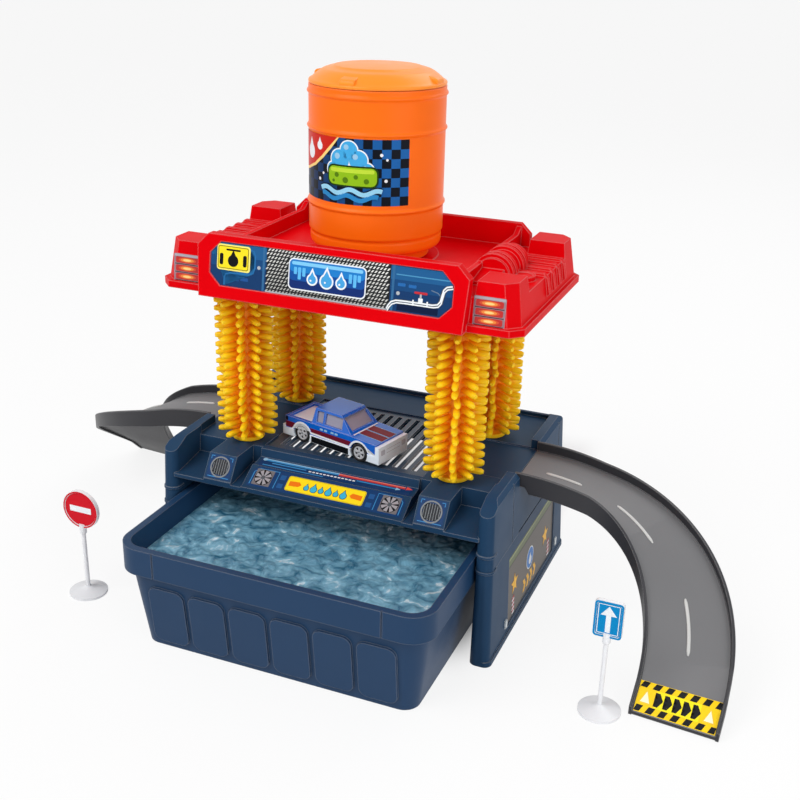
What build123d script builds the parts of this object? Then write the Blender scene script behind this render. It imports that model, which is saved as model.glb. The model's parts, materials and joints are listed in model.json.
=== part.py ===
from build123d import *
from math import atan, cos, radians, sin
import os

# Toy car wash playset. X runs along the lane, Y to the back, Z up from the floor.
# All lengths are in millimetres, and the right side is the side of +X.

# Moulding and fits
wall = 2.0
thin_wall = 1.6
body_gap = 0.3
press_gap = 0.05
overrun = 1.0

# Base, two side stands with the deck housing on them
base_half_width = 104.7
base_front = 78.5
base_back = 77.5
side_lean = 3.0
front_lean = 4.0
back_lean = 9.5
deck_height = 91.0
deck_plate = 2.2
stand_height = 58.0
bay_half_width = 93.0
side_corner = 4.4
corner_width_share = 0.44
foot_height = 3.0
foot_lip = 0.8
collar_height = 1.4
collar_proud = 0.5
collar_reach = 11.0
upper_collar_height = 66.0
parapet_height = 5.0
parapet_inset = 1.0
parapet_bevel = 2.4
brow_depth = 13.0
brow_drop = 8.0
tail_depth = 6.0
tail_drop = 3.0
rear_kerb_height = 2.5
groove_width = 1.2
groove_depth = 0.7
front_groove_y = -38.0
rear_groove_y = 56.0
seam_slot_front = -26.0
seam_slot_back = 48.0
panel_front = -43.0
panel_back = 53.0
panel_foot = 6.0
panel_head = 50.0
panel_depth = 0.8
rail_width = 3.7
rail_height = 2.0
rail_length = 120.0

# Lane, drain grate and post sockets
lane_y = -3.5
lane_drop = 1.0
lane_half_width = 24.0
grate_half_length = 50.0
grate_front = 44.0
grate_back = 35.0
grate_plate = 2.0
grate_margin = 4.5
grate_front_margin = 6.5
grate_pitch = 6.0
grate_slot = 3.0
grate_ledge = 2.0
brush_x = 65.4
brush_spacing = 33.3
post_radius = 4.5
socket_radius = 7.0
socket_depth = 11.0

# Dash, the stepped front edge of the housing
dash_back = 45.0
dash_front = 75.0
dash_sill = 74.7
dash_half_width = 92.4
kerb_depth = 4.0
kerb_fall = 0.9
ledge_height = 86.0
ledge_toe_height = 84.6
ledge_depth = 10.0
step_run = 0.8
step_rise = 0.8
sticker_panel_toe = 73.0
lip_height = 77.6
centre_half_width = 50.0
pod_inner = 56.5
pod_outer = 74.5
pod_brow = 66.0
pod_toe_height = 78.2
pod_toe_depth = 0.5
pocket_back_height = 80.6
pocket_toe_height = 77.0
pocket_kerb = 2.0
pocket_toe = 70.5
gauge_radius = 6.4
gauge_recess = 0.5

# Tub
tub_front = 141.0
tub_length = 144.0
tub_rim_half_width = 92.0
tub_rim_height = 63.7
tub_rim_corner = 14.5
tub_rim_inset = 2.2
tub_skirt = 15.7
tub_skirt_wall = 1.7
tub_wall = 2.2
tub_draft_run = 7.8
tub_body_corner = 12.5
tub_foot_corner = 9.0
tub_panel_pitch = 25.0
tub_panel_count = 6
tub_panel_gap = 3.0
tub_panel_foot = 4.0
tub_panel_head = 40.0
tub_panel_corner = 5.0
tub_panel_proud = 1.4
rim_line_x = 67.0
rim_line_width = 0.8
rim_line_depth = 0.6

# Brushes
disc_radius = 9.6
disc_height = 2.4
hub_radius = 6.6
hub_sides = 8
strand_levels = 15
strand_root_width = 2.5
strand_tip_width = 1.5
strand_root_depth = 0.7
strand_reach = 18.0
brush_end_margin = 2.6

# Canopy
canopy_bottom = 186.0
flange_height = 4.0
flange_half_width = 106.5
flange_half_depth = 61.0
flange_clip = 6.5
roof_foot_half_width = 104.0
roof_foot_half_depth = 58.5
roof_head_half_width = 102.0
roof_head_half_depth = 57.0
roof_clip = 6.0
ledge_level = 204.0
tray_floor = 2.0
roof_wall = 3.0
corner_block_top = 212.5
corner_block_inner = 78.0
corner_block_draft = 1.6
corner_block_depth = 24.5
fascia_half_width = 79.0
fascia_foot_half_width = 77.0
fascia_foot_front = 67.0
fascia_top_front = 61.8
fascia_top = 220.5
fascia_thickness = 5.0
fascia_foot_thickness = 9.0
fascia_clip = 7.0
sticker_half_width = 70.5
sticker_foot = 193.0
sticker_head = 216.8
sticker_clip = 6.5
sticker_depth = 0.6
rear_wall_half_width = 77.0
rear_wall_top = 217.5
rear_wall_front = 50.0
rear_wall_thickness = 5.0
rear_wall_draft = 0.8
rear_wall_clip = 6.5
tray_half_width = 68.0
tray_wall = 3.0
tray_wall_top = 212.0
tray_wall_ramp = 8.0
rib_width = 3.0
rib_proud = 1.5
rib_inner = 74.0
rib_count = 4
rib_pitch = 11.0
first_rib_y = -4.0
rib_foot = 193.0
rib_bevel = 2.5
drum_x = 77.0
drum_z = 205.5
drum_radius = 9.4
drum_front = -21.0
drum_back = 15.0
ring_radius = 11.5
ring_width = 2.6
ring_pair_pitch = 5.2
front_ring_y = -15.5
rear_ring_y = 2.5
duct_half_width = 6.5
duct_front = -37.0
duct_back_height = 209.5
duct_front_height = 206.0
boss_x = 92.0
boss_y = -15.0
boss_radius = 7.0
boss_height = 2.6
boss_dish = 0.6
boss_rim = 1.4
seat_outer = 36.0
seat_inner = 29.0
seat_height = 0.7

# Ceiling panel, the shower plate
ceiling_plate = 2.0
ceiling_corner = 4.0
chamber_radius = 29.0
shower_radius = 1.1
shower_ring_share = (0.34, 0.7)
shower_counts = (6, 12)
screw_x = 88.0
screw_y = 42.0
screw_radius = 1.3
screw_head_radius = 2.5
screw_head_height = 1.4
screw_length = 7.0
screw_boss_radius = 3.2

# Tank
tank_radius = 37.6
tank_foot = 205.0
tank_foot_radius = 35.6
tank_foot_height = 4.0
tank_top = 298.0
tank_wall = 1.6
tank_groove_height = 212.0
tank_groove_depth = 0.8
ridge_proud = 0.9
ridge_half_height = 1.5
ridge_heights = (218.0, 228.0, 268.5, 273.5, 287.0)
neck_radius = 7.0
neck_length = 9.0
neck_bore = 5.4
cap_wall = 1.6
cap_height = 6.0
cap_floor = 1.2
cap_hole_radius = 0.8
cap_hole_count = 6
cap_hole_ring = 3.4
outlet_hole_radius = 9.3
seal_width = 2.6
seal_height = 0.7
lid_rim_height = 1.6
lid_shoulder_radius = 27.5
lid_shoulder_height = 6.4
lid_crown = 1.0
lid_crown_radius = 24.0
plug_depth = 6.0
lug_count = 4
lug_length = 9.0
lug_width = 8.0
lug_height = 5.0
lug_turn = 33.0

# Ramps
ramp_mouth = 98.5
ramp_half_width = 23.5
ramp_wall = 1.8
ramp_floor = 2.0
ramp_kerb = 6.0
ramp_end_kerb = 2.4
ramp_skirt = 4.0
ramp_end_skirt = 0.5
ramp_straight = 42.0
ramp_bend_radius = 67.9
ramp_bend_angle = 95.0
ramp_run_out = 10.0
ramp_bend_steps = 10
ramp_straight_steps = 3
tongue_depth = 8.0
tongue_thickness = 1.0
tongue_half_width = 20.0

# Road signs
sign_disc_radius = 11.3
sign_disc_height = 3.0
sign_disc_edge = 1.2
sign_disc_shoulder = 4.0
sign_pole_radius = 1.3
sign_ferrule_radius = 2.1
sign_ferrule_length = 3.5
sign_plate = 2.4
sign_rim = 1.2
sign_recess = 0.5
round_sign_x = -141.3
round_sign_y = -102.8
round_sign_radius = 12.0
round_sign_centre = 56.0
arrow_sign_x = 169.4
arrow_sign_y = -88.9
arrow_sign_half_width = 7.5
arrow_sign_half_height = 10.5
arrow_sign_centre = 56.2
arrow_sign_corner = 2.0

# Toy pickup, in its own frame with its nose to +X and its wheels on Z = 0
car_x = -9.0
car_y = -21.8
car_yaw = 14.0
car_length = 72.5
car_half_width = 13.8
car_wheelbase = 43.0
car_sill = 6.8
car_clearance = 2.2
car_belt = 14.4
car_nose = 13.6
car_roof = 24.0
car_body_half_width = 13.3
car_front_cap = 2.8
car_rear_cap = 1.8
car_front_cap_height = 12.6
car_rear_cap_height = 8.4
cab_back = -14.5
cab_front = 15.5
cab_roof_back = -12.8
cab_roof_front = 6.5
cab_half_width = 12.8
cab_roof_half_width = 10.6
cab_skin = 0.9
window_sill = 15.8
window_head = 22.4
pillar = 1.6
middle_pillar_x = -5.5
bed_back = -32.5
bed_front = -16.0
bed_half_width = 11.2
bed_depth = 2.1
bed_plate = 0.6
wheel_radius = 5.6
wheel_width = 4.2
wheel_setback = 0.3
wheel_dish = 0.8
wheel_rim_radius = 3.9
arch_radius = 6.3
arch_depth = 5.2
axle_radius = 0.8
axle_gap = 0.05
stud_width = 3.0
stud_height = 5.0
stud_proud = 0.8
stud_foot = 8.0
stud_inset = 4.5

# Places worked out from the sizes above
lane_height = deck_height - lane_drop
roof_bottom = canopy_bottom + flange_height
ceiling_bottom = roof_bottom - ceiling_plate
tray_under = ledge_level - tray_floor
parapet_top = deck_height + parapet_height
brush_bottom = deck_height + body_gap
brush_top = ceiling_bottom - body_gap
cap_radius = neck_radius + press_gap + cap_wall
fascia_lean = atan((fascia_foot_front - fascia_top_front) / (fascia_top - canopy_bottom))
brush_places = {
    "front_left": (-brush_x, lane_y - brush_spacing),
    "front_right": (brush_x, lane_y - brush_spacing),
    "rear_left": (-brush_x, lane_y + brush_spacing),
    "rear_right": (brush_x, lane_y + brush_spacing),
}


def block(low, high):
    """Box between two opposite corners."""
    size = [high[axis] - low[axis] for axis in range(3)]
    middle = [(high[axis] + low[axis]) / 2 for axis in range(3)]
    return Pos(*middle) * Box(*size)


def rod(radius, low, high, place=(0, 0)):
    """Upright cylinder between two heights."""
    return Pos(place[0], place[1], (low + high) / 2) * Cylinder(radius, high - low)


def side_view(points, low, high):
    """Solid whose outline of (y, z) points runs along X from low to high."""
    outline = Plane.YZ * Polygon(*points, align=None)
    return Pos(low, 0, 0) * extrude(outline, high - low, dir=(1, 0, 0))


def front_view(points, low, high):
    """Solid whose outline of (x, z) points runs along Y from low to high."""
    outline = Plane.XZ * Polygon(*points, align=None)
    return Pos(0, low, 0) * extrude(outline, high - low, dir=(0, 1, 0))


def both_sides(shape):
    """The shape and its mirror image on the other side of the lane's middle."""
    return shape + mirror(shape, about=Plane.YZ)


def outer_face(height):
    """Half width of the base at a height."""
    return base_half_width - side_lean * height / deck_height


def side_slab(stages, inset=0.0):
    """Drafted upright block between the tub bay and the outer face, on the right."""
    sections = []
    for height, trim in stages:
        rise = height / deck_height
        outer = outer_face(height) - inset - trim
        inner = bay_half_width + inset
        front = base_front - front_lean * rise - inset
        back = base_back - back_lean * rise - inset
        corner = min(side_corner - inset, corner_width_share * (outer - inner))
        outline = RectangleRounded(outer - inner, front + back, corner)
        sections.append(Pos((inner + outer) / 2, (back - front) / 2, height) * outline)
    return loft(sections, ruled=True)


def collar(foot):
    """Raised band round the rounded front column of the right side."""
    head = foot + collar_height
    band = side_slab([(foot, 0), (head, 0)], -collar_proud)
    far = base_half_width + overrun
    return band & block((0, -base_front - overrun, foot), (far, collar_reach - base_front, head))


def screw_places():
    """Where a screw joins each stand to the housing, on the right."""
    x = bay_half_width + wall + (outer_face(stand_height) - bay_half_width - 2 * wall) / 2
    return [(x, -base_front + 2 * collar_reach), (x, base_back - 2 * collar_reach)]


# Side stands


def right_stand():
    """Hollow side stand, open below, with the rail that guides the tub."""
    stand = side_slab([(0, 0), (stand_height, 0)])
    stand += side_slab([(0, -foot_lip), (foot_height, -foot_lip)])
    stand += collar(stand_height - collar_height)
    stand -= side_slab([(-overrun, 0), (stand_height - wall, 0)], wall)
    rail_top = tub_rim_height - tub_skirt - body_gap
    rail_face = bay_half_width - rail_width
    rail_foot = rail_top - rail_height
    rail = front_view(
        [
            (bay_half_width + wall / 2, rail_top),
            (rail_face, rail_top),
            (rail_face, rail_foot),
            (bay_half_width + wall / 2, rail_foot - rail_width),
        ],
        -rail_length / 2,
        rail_length / 2,
    )
    stand += rail
    recess = side_slab([(panel_foot, 0), (panel_head, 0)], -overrun)
    recess -= side_slab([(0, panel_depth), (stand_height, panel_depth)])
    far = base_half_width + overrun
    stand -= recess & block((bay_half_width + wall, panel_front, 0), (far, panel_back, stand_height))
    hole = screw_radius + press_gap
    for place in screw_places():
        stand -= rod(hole, stand_height - wall - overrun, stand_height + overrun, place)
    for stud in stud_blocks(press_gap):
        stand -= stud
    return stand


def stud_blocks(grow=0.0):
    """The clear studs at the foot of the right side panel, or their holes when grown."""
    studs = []
    for y in (panel_front - stud_inset, panel_back + stud_inset):
        middle = outer_face(stud_foot)
        low = (middle - wall - grow, y - stud_width / 2 - grow, stud_foot - grow)
        far = middle + stud_proud + grow
        high = (far, y + stud_width / 2 + grow, stud_foot + stud_height + grow)
        studs.append(block(low, high))
    return studs


# Deck housing


def side_box():
    """Right side of the housing: a hollow box whose top is the parapet."""
    shoulder = parapet_top - parapet_bevel
    shape = side_slab([(stand_height, 0), (shoulder, 0), (parapet_top, parapet_bevel)])
    shape += collar(upper_collar_height)
    low_front = -base_front - overrun
    brow = [
        (low_front, parapet_top + overrun),
        (low_front, parapet_top - brow_drop),
        (brow_depth - base_front + front_lean, parapet_top),
        (brow_depth - base_front + front_lean, parapet_top + overrun),
    ]
    high_back = base_back - back_lean + overrun
    tail = [
        (high_back, parapet_top + overrun),
        (high_back, parapet_top - tail_drop),
        (high_back - tail_depth, parapet_top),
        (high_back - tail_depth, parapet_top + overrun),
    ]
    for points in (brow, tail):
        shape -= side_view(points, 0, base_half_width + overrun)
    hollow = side_slab([(stand_height - overrun, 0), (shoulder - wall / 2, 0)], wall)
    brow_end = -base_front + brow_depth + front_lean
    hollow -= block((0, -base_front, shoulder - wall - brow_drop), (base_half_width, brow_end, parapet_top))
    lane_front = lane_y - lane_half_width - wall
    lane_rear = lane_y + lane_half_width + wall
    hollow -= block((0, lane_front, lane_height - ramp_floor), (base_half_width, lane_rear, parapet_top))
    shape -= hollow
    head = stand_height + screw_length
    for place in screw_places():
        shape += rod(screw_boss_radius, stand_height, head + wall, place)
        shape -= rod(screw_radius + press_gap, stand_height - overrun, head, place)
    return shape


def side_grooves():
    """Shallow upright grooves and the slot over the seam, cut in the right outer face."""
    cutter = side_slab([(stand_height - overrun, -overrun), (parapet_top + overrun, -overrun)])
    cutter -= side_slab([(0, groove_depth), (parapet_top + 2 * overrun, groove_depth)])
    far = base_half_width + 2 * overrun
    inner = bay_half_width + wall
    shape = None
    for y in (front_groove_y, rear_groove_y):
        low = (inner, y - groove_width / 2, stand_height - overrun)
        strip = cutter & block(low, (far, y + groove_width / 2, parapet_top + overrun))
        shape = strip if shape is None else shape + strip
    slot_low = (inner, seam_slot_front, stand_height - overrun)
    return shape + (cutter & block(slot_low, (far, seam_slot_back, stand_height + groove_width)))


def dash_outline(line, back, sill):
    """Side view of one slice of the dash, closed down to the sill."""
    return [(-back, sill)] + [(-back, deck_height)] + line + [(-dash_front, sill)]


def dash_lines():
    """Top edges of the centre, the pods and the low part, from the deck forward."""
    kerb = dash_back + kerb_depth
    step = kerb + ledge_depth
    centre = [
        (-kerb, deck_height),
        (-kerb - kerb_fall, ledge_height),
        (-step, ledge_toe_height),
        (-step - step_run, ledge_toe_height + step_rise),
        (-sticker_panel_toe, lip_height),
        (-dash_front, lip_height),
    ]
    pod_toe = -dash_front + pod_toe_depth
    pod = [(-pod_brow, deck_height), (pod_toe, pod_toe_height), (-dash_front, pod_toe_height)]
    pocket = dash_back + pocket_kerb
    low = [
        (-pocket, deck_height),
        (-pocket - kerb_fall, pocket_back_height),
        (-pocket_toe, pocket_toe_height),
        (-dash_front, pocket_toe_height),
    ]
    return centre, pod, low


def dash_slice(line, low, high, inner):
    """One slice of the dash, or the space under its skin when inner is set."""
    if not inner:
        return side_view(dash_outline(line, dash_back, dash_sill), low, high)
    points = dash_outline(line, dash_back - 2 * wall, dash_sill - 3 * wall)
    skin = offset(Polygon(*points, align=None), -wall, kind=Kind.INTERSECTION)
    solid = extrude(Plane.YZ * skin, high - low - 2 * wall, dir=(1, 0, 0))
    return Pos(low + wall, 0, 0) * solid


def dash():
    """Stepped front edge with the gauge pods, as one thin shell open below."""
    centre, pod, low = dash_lines()
    slices = [
        (low, -dash_half_width - wall, dash_half_width + wall),
        (centre, -centre_half_width, centre_half_width),
        (pod, pod_inner, pod_outer),
        (pod, -pod_outer, -pod_inner),
    ]
    shape = dash_slice(*slices[0], False)
    for line, left, right in slices[1:]:
        shape += dash_slice(line, left, right, False)
    for line, left, right in slices:
        shape -= dash_slice(line, left, right, True)
    return shape - gauge_recesses()


def gauge_plane(side):
    """Plane on the sloped face of a pod, at the middle of its gauge."""
    run = dash_front - pod_toe_depth - pod_brow
    fall = deck_height - pod_toe_height
    middle_y = -(pod_brow + run / 2)
    middle_z = (deck_height + pod_toe_height) / 2
    x = side * (pod_inner + pod_outer) / 2
    return Plane(origin=(x, middle_y, middle_z), x_dir=(1, 0, 0), z_dir=(0, -fall, run))


def gauge_recesses():
    """Round recesses that hold the gauge faces."""
    shape = None
    for side in (-1, 1):
        recess = extrude(gauge_plane(side) * Circle(gauge_radius), gauge_recess, both=True)
        shape = recess if shape is None else shape + recess
    return shape


def deck():
    """Deck plate, rear wall and rear kerb between the side boxes."""
    edge = bay_half_width + parapet_inset
    plate_low = (-edge, -dash_back, deck_height - deck_plate)
    rear_low = base_back - back_lean * stand_height / deck_height
    rear_high = base_back - back_lean
    kerb_top = deck_height + rear_kerb_height
    plate = block(plate_low, (edge, rear_high - wall / 2, deck_height))
    rear = side_view(
        [
            (rear_low - wall, stand_height),
            (rear_low, stand_height),
            (rear_high, kerb_top),
            (rear_high - wall, kerb_top),
        ],
        -edge,
        edge,
    )
    return plate + rear


def grate_ledge_ring():
    """Ledge under the deck opening that the grate rests on."""
    top = lane_height - grate_plate
    front = min(grate_front + grate_ledge, dash_back)
    return block(
        (-grate_half_length - grate_ledge, -front, top - grate_ledge),
        (grate_half_length + grate_ledge, grate_back + grate_ledge, deck_height - deck_plate),
    )


def grate_opening():
    """Stepped hole in the deck: the grate's seat and the drain below it."""
    top = lane_height - grate_plate
    gap = press_gap
    seat = block(
        (-grate_half_length - gap, -grate_front - gap, top),
        (grate_half_length + gap, grate_back + gap, deck_height + overrun),
    )
    drain = block(
        (grate_ledge - grate_half_length, grate_ledge - grate_front, top - grate_ledge - overrun),
        (grate_half_length - grate_ledge, grate_back - grate_ledge, deck_height + overrun),
    )
    return seat + drain


def deck_housing():
    """Upper housing: deck, side boxes, dash, lane notches and post sockets."""
    shape = side_box() - side_grooves()
    shape = both_sides(shape)
    shape += deck()
    shape += grate_ledge_ring()
    shape += dash()
    for place in brush_places.values():
        shape += rod(socket_radius, deck_height - socket_depth - wall, deck_height - deck_plate, place)
    top = parapet_top + overrun
    clear = bay_half_width + parapet_inset
    kerb_line = base_back - back_lean - 2 * wall
    shape -= block((-clear, -dash_back, deck_height), (clear, kerb_line, top))
    far = base_half_width + overrun
    shape -= block((-far, lane_y - lane_half_width, lane_height), (far, lane_y + lane_half_width, top))
    shape -= both_sides(ramp_seat())
    shape -= grate_opening()
    for place in brush_places.values():
        low = deck_height - socket_depth
        shape -= rod(post_radius + press_gap, low, deck_height + overrun, place)
    return shape


def ramp_seat():
    """Step in the right side that a ramp's mouth drops into."""
    reach = ramp_half_width + body_gap
    low = lane_height - ramp_floor - body_gap
    left = ramp_mouth - body_gap
    far = base_half_width + overrun
    step = block((left, lane_y - reach, low), (far, lane_y + reach, parapet_top + overrun))
    tongue = tongue_half_width + body_gap
    inner_wall = outer_face(lane_height) - wall
    return step + block((left, lane_y - tongue, low - wall), (inner_wall, lane_y + tongue, low + wall))


def deck_grate():
    """Drain grate with slots that run across the lane."""
    top = lane_height
    plate = block(
        (-grate_half_length, -grate_front, top - grate_plate), (grate_half_length, grate_back, top)
    )
    count = int((grate_half_length - grate_margin) / grate_pitch)
    low = top - grate_plate - overrun
    for step in range(-count, count + 1):
        x = step * grate_pitch
        plate -= block(
            (x - grate_slot / 2, grate_front_margin - grate_front, low),
            (x + grate_slot / 2, grate_back - grate_margin, top + overrun),
        )
    return plate


# Posts and brushes


def post(place):
    """Fixed post from its deck socket to its canopy socket."""
    return rod(post_radius, deck_height - socket_depth, tray_under - wall, place)


def strand():
    """One stiff bristle along +X: a tapered four-sided finger."""
    root = hub_radius * cos(radians(180 / hub_sides)) - strand_root_depth
    base = Plane.YZ.offset(root) * Rectangle(strand_root_width, strand_root_width)
    tip = Plane.YZ.offset(strand_reach) * Rectangle(strand_tip_width, strand_tip_width)
    return loft([base, tip], ruled=True)


def brush():
    """Bristle roller round the Z axis: discs, faceted hub and fused bristles."""
    hub = Pos(0, 0, (brush_bottom + brush_top) / 2) * extrude(
        RegularPolygon(hub_radius, hub_sides), (brush_top - brush_bottom) / 2, both=True
    )
    hub = Rot(0, 0, 180 / hub_sides) * hub
    hub += rod(disc_radius, brush_bottom, brush_bottom + disc_height)
    hub += rod(disc_radius, brush_top - disc_height, brush_top)
    hub -= rod(post_radius + press_gap, brush_bottom - overrun, brush_top + overrun)
    low = brush_bottom + disc_height + brush_end_margin
    high = brush_top - disc_height - brush_end_margin
    finger = strand()
    fingers = []
    for level in range(strand_levels):
        height = low + (high - low) * level / (strand_levels - 1)
        for row in range(hub_sides):
            turn = 360 * row / hub_sides
            fingers.append(Rot(0, 0, turn) * (Pos(0, 0, height) * finger))
    return hub.fuse(*fingers)


# Tub


def tub_slab(half_x, inset, corner, height):
    """Outline of the tub at a height, inset from its rim in front and behind."""
    middle = tub_length / 2 - tub_front
    return Pos(0, middle, height) * RectangleRounded(2 * half_x, tub_length - 2 * inset, corner)


def tub_body(shrink, low):
    """Drafted body of the tub, drawn in by shrink, from a low height to the rim."""
    top_inset = tub_rim_inset + shrink
    foot_inset = top_inset + tub_draft_run * (1 - low / tub_rim_height)
    foot = tub_slab(tub_rim_half_width - foot_inset, foot_inset, tub_foot_corner - shrink, low)
    head = tub_slab(tub_rim_half_width - top_inset, top_inset, tub_body_corner - shrink, tub_rim_height)
    return loft([foot, head], ruled=True)


def tub_panels():
    """Raised panels with rounded heads on the drafted front of the tub."""
    slope = atan(tub_draft_run / tub_rim_height)
    foot_y = tub_rim_inset + tub_draft_run - tub_front
    middle = (tub_panel_foot + tub_panel_head) / 2
    y = foot_y - tub_draft_run * middle / tub_rim_height
    height = (tub_panel_head - tub_panel_foot) / cos(slope)
    face = Plane(origin=(0, y, middle), x_dir=(1, 0, 0), z_dir=(0, -cos(slope), -sin(slope)))
    outline = RectangleRounded(tub_panel_pitch - tub_panel_gap, height, tub_panel_corner)
    shape = None
    for step in range(tub_panel_count):
        x = (step - (tub_panel_count - 1) / 2) * tub_panel_pitch
        panel = extrude(face * (Pos(x, 0) * outline), tub_panel_proud)
        panel += extrude(face * (Pos(x, 0) * outline), -tub_wall / 2)
        shape = panel if shape is None else shape + panel
    return shape


def wash_tub():
    """Water tub: drafted body, rim with its hanging skirt, and front panels."""
    skirt_low = tub_rim_height - tub_skirt
    rim = extrude(tub_slab(tub_rim_half_width, 0, tub_rim_corner, skirt_low), tub_skirt)
    inner_half = tub_rim_half_width - tub_skirt_wall
    channel = tub_slab(inner_half, tub_skirt_wall, tub_rim_corner - tub_skirt_wall, skirt_low - overrun)
    rim -= extrude(channel, tub_skirt - tub_wall + overrun)
    shape = rim + tub_body(0, 0)
    shape += tub_panels()
    shape -= tub_inside()
    for x in (-rim_line_x, rim_line_x):
        low = (x - rim_line_width / 2, -tub_front - overrun, skirt_low - overrun)
        high = (x + rim_line_width / 2, rim_line_depth - tub_front, tub_rim_height + overrun)
        shape -= block(low, high)
    return shape


def tub_inside():
    """Space that holds the water."""
    inside = tub_body(tub_wall, tub_wall)
    lift = extrude(
        tub_slab(
            tub_rim_half_width - tub_rim_inset - tub_wall,
            tub_rim_inset + tub_wall,
            tub_body_corner - tub_wall,
            tub_rim_height,
        ),
        overrun,
    )
    return inside + lift


# Canopy


def clipped(half_x, half_y, clip, height):
    """Rectangle with cut corners at a height."""
    outline = Rectangle(2 * half_x, 2 * half_y)
    return Pos(0, 0, height) * chamfer(outline.vertices(), clip)


def roof_share(height):
    """How far a height is up the drafted roof, 0 at its foot and 1 at the ledge."""
    return (height - roof_bottom) / (ledge_level - roof_bottom)


def roof_half(height):
    """Half width and half depth of the drafted roof at a height."""
    share = roof_share(height)
    half_x = roof_foot_half_width + (roof_head_half_width - roof_foot_half_width) * share
    half_y = roof_foot_half_depth + (roof_head_half_depth - roof_foot_half_depth) * share
    return half_x, half_y


def corner_block():
    """Raised lamp block on the rear right corner, with its outer corner cut."""
    sections = []
    for height in (roof_bottom, corner_block_top):
        half_x, half_y = roof_half(height)
        draft = corner_block_draft * roof_share(height)
        inner_x = corner_block_inner + draft
        inner_y = roof_foot_half_depth - corner_block_depth + draft
        points = [
            (inner_x, inner_y),
            (half_x, inner_y),
            (half_x, half_y - roof_clip),
            (half_x - roof_clip, half_y),
            (inner_x, half_y),
        ]
        sections.append(Pos(0, 0, height) * Polygon(*points, align=None))
    return loft(sections, ruled=True)


def fascia():
    """Leaning front board with cut top corners."""
    foot = Pos(0, fascia_foot_thickness / 2 - fascia_foot_front, canopy_bottom) * Rectangle(
        2 * fascia_foot_half_width, fascia_foot_thickness
    )
    head = Pos(0, fascia_thickness / 2 - fascia_top_front, fascia_top) * Rectangle(
        2 * fascia_half_width, fascia_thickness
    )
    board = loft([foot, head], ruled=True)
    board -= both_sides(top_corner(fascia_half_width, fascia_top, fascia_clip, -fascia_foot_front, 0))
    return board - fascia_recess()


def top_corner(half_width, top, clip, low, high):
    """Wedge that cuts the top right corner off an upright board."""
    return front_view(
        [
            (half_width - clip, top),
            (half_width - clip, top + overrun),
            (half_width + overrun, top + overrun),
            (half_width + overrun, top - clip),
            (half_width, top - clip),
        ],
        low - overrun,
        high,
    )


def fascia_plane():
    """Plane of the fascia's face, centred on its sticker."""
    middle = (sticker_foot + sticker_head) / 2
    rise = (middle - canopy_bottom) / (fascia_top - canopy_bottom)
    y = -fascia_foot_front + (fascia_foot_front - fascia_top_front) * rise
    return Plane(origin=(0, y, middle), x_dir=(1, 0, 0), z_dir=(0, -cos(fascia_lean), sin(fascia_lean)))


def fascia_recess():
    """Shallow recess with cut corners that holds the fascia's sticker."""
    height = (sticker_head - sticker_foot) / cos(fascia_lean)
    outline = chamfer(Rectangle(2 * sticker_half_width, height).vertices(), sticker_clip)
    return extrude(fascia_plane() * outline, sticker_depth, both=True)


def rear_wall():
    """Upright wall behind the tray, with cut top corners."""
    low = Pos(0, rear_wall_front + rear_wall_thickness / 2, tray_under) * Rectangle(
        2 * rear_wall_half_width, rear_wall_thickness
    )
    thickness = rear_wall_thickness - 2 * rear_wall_draft
    high = Pos(0, rear_wall_front + rear_wall_thickness / 2, rear_wall_top) * Rectangle(
        2 * rear_wall_half_width - 2 * rear_wall_draft, thickness
    )
    board = loft([low, high], ruled=True)
    back = rear_wall_front + rear_wall_thickness + overrun
    return board - both_sides(
        top_corner(rear_wall_half_width, rear_wall_top, rear_wall_clip, rear_wall_front, back)
    )


def tray_side():
    """Wall on the right of the tray, rising to the rear wall."""
    back = rear_wall_front + rear_wall_thickness / 2
    front = -fascia_top_front + fascia_thickness / 2
    points = [
        (front, tray_under),
        (front, tray_wall_top),
        (back - tray_wall_ramp, tray_wall_top),
        (back, rear_wall_top - rear_wall_draft),
        (back, tray_under),
    ]
    return side_view(points, tray_half_width, tray_half_width + tray_wall)


def roof_rib(y):
    """Rib that crosses the right ledge and wraps over its outer edge."""
    top = ledge_level + rib_proud
    foot_x = roof_half(rib_foot)[0]
    head_x = roof_half(ledge_level)[0]
    points = [
        (rib_inner, tray_under),
        (rib_inner, top),
        (head_x + rib_proud - rib_bevel, top),
        (head_x + rib_proud, top - rib_bevel),
        (foot_x + rib_proud, rib_foot + rib_proud),
        (foot_x, rib_foot),
        (head_x - rib_proud, tray_under),
    ]
    return front_view(points, y - rib_width / 2, y + rib_width / 2)


def drum():
    """Half-sunk drum with two pairs of rings on the right ledge."""
    shape = Pos(drum_x, (drum_front + drum_back) / 2, drum_z) * Rot(90, 0, 0) * Cylinder(
        drum_radius, drum_back - drum_front
    )
    for pair in (front_ring_y, rear_ring_y):
        for side in (-1, 1):
            y = pair + side * ring_pair_pitch / 2
            shape += Pos(drum_x, y, drum_z) * Rot(90, 0, 0) * Cylinder(ring_radius, ring_width)
    reach = ring_radius + overrun
    low = (drum_x - reach, drum_front - overrun, tray_under)
    return shape & block(low, (drum_x + reach, drum_back + overrun, drum_z + reach))


def drum_duct():
    """Sloped duct in front of the drum."""
    points = [
        (duct_front, tray_under),
        (duct_front, duct_front_height),
        (drum_front + overrun, duct_back_height),
        (drum_front + overrun, tray_under),
    ]
    return side_view(points, drum_x - duct_half_width, drum_x + duct_half_width)


def ledge_boss():
    """Low round boss on the right ledge, with a dished top."""
    top = ledge_level + boss_height
    shape = rod(boss_radius, tray_under, top, (boss_x, boss_y))
    return shape - rod(boss_radius - boss_rim, top - boss_dish, top + overrun, (boss_x, boss_y))


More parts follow.
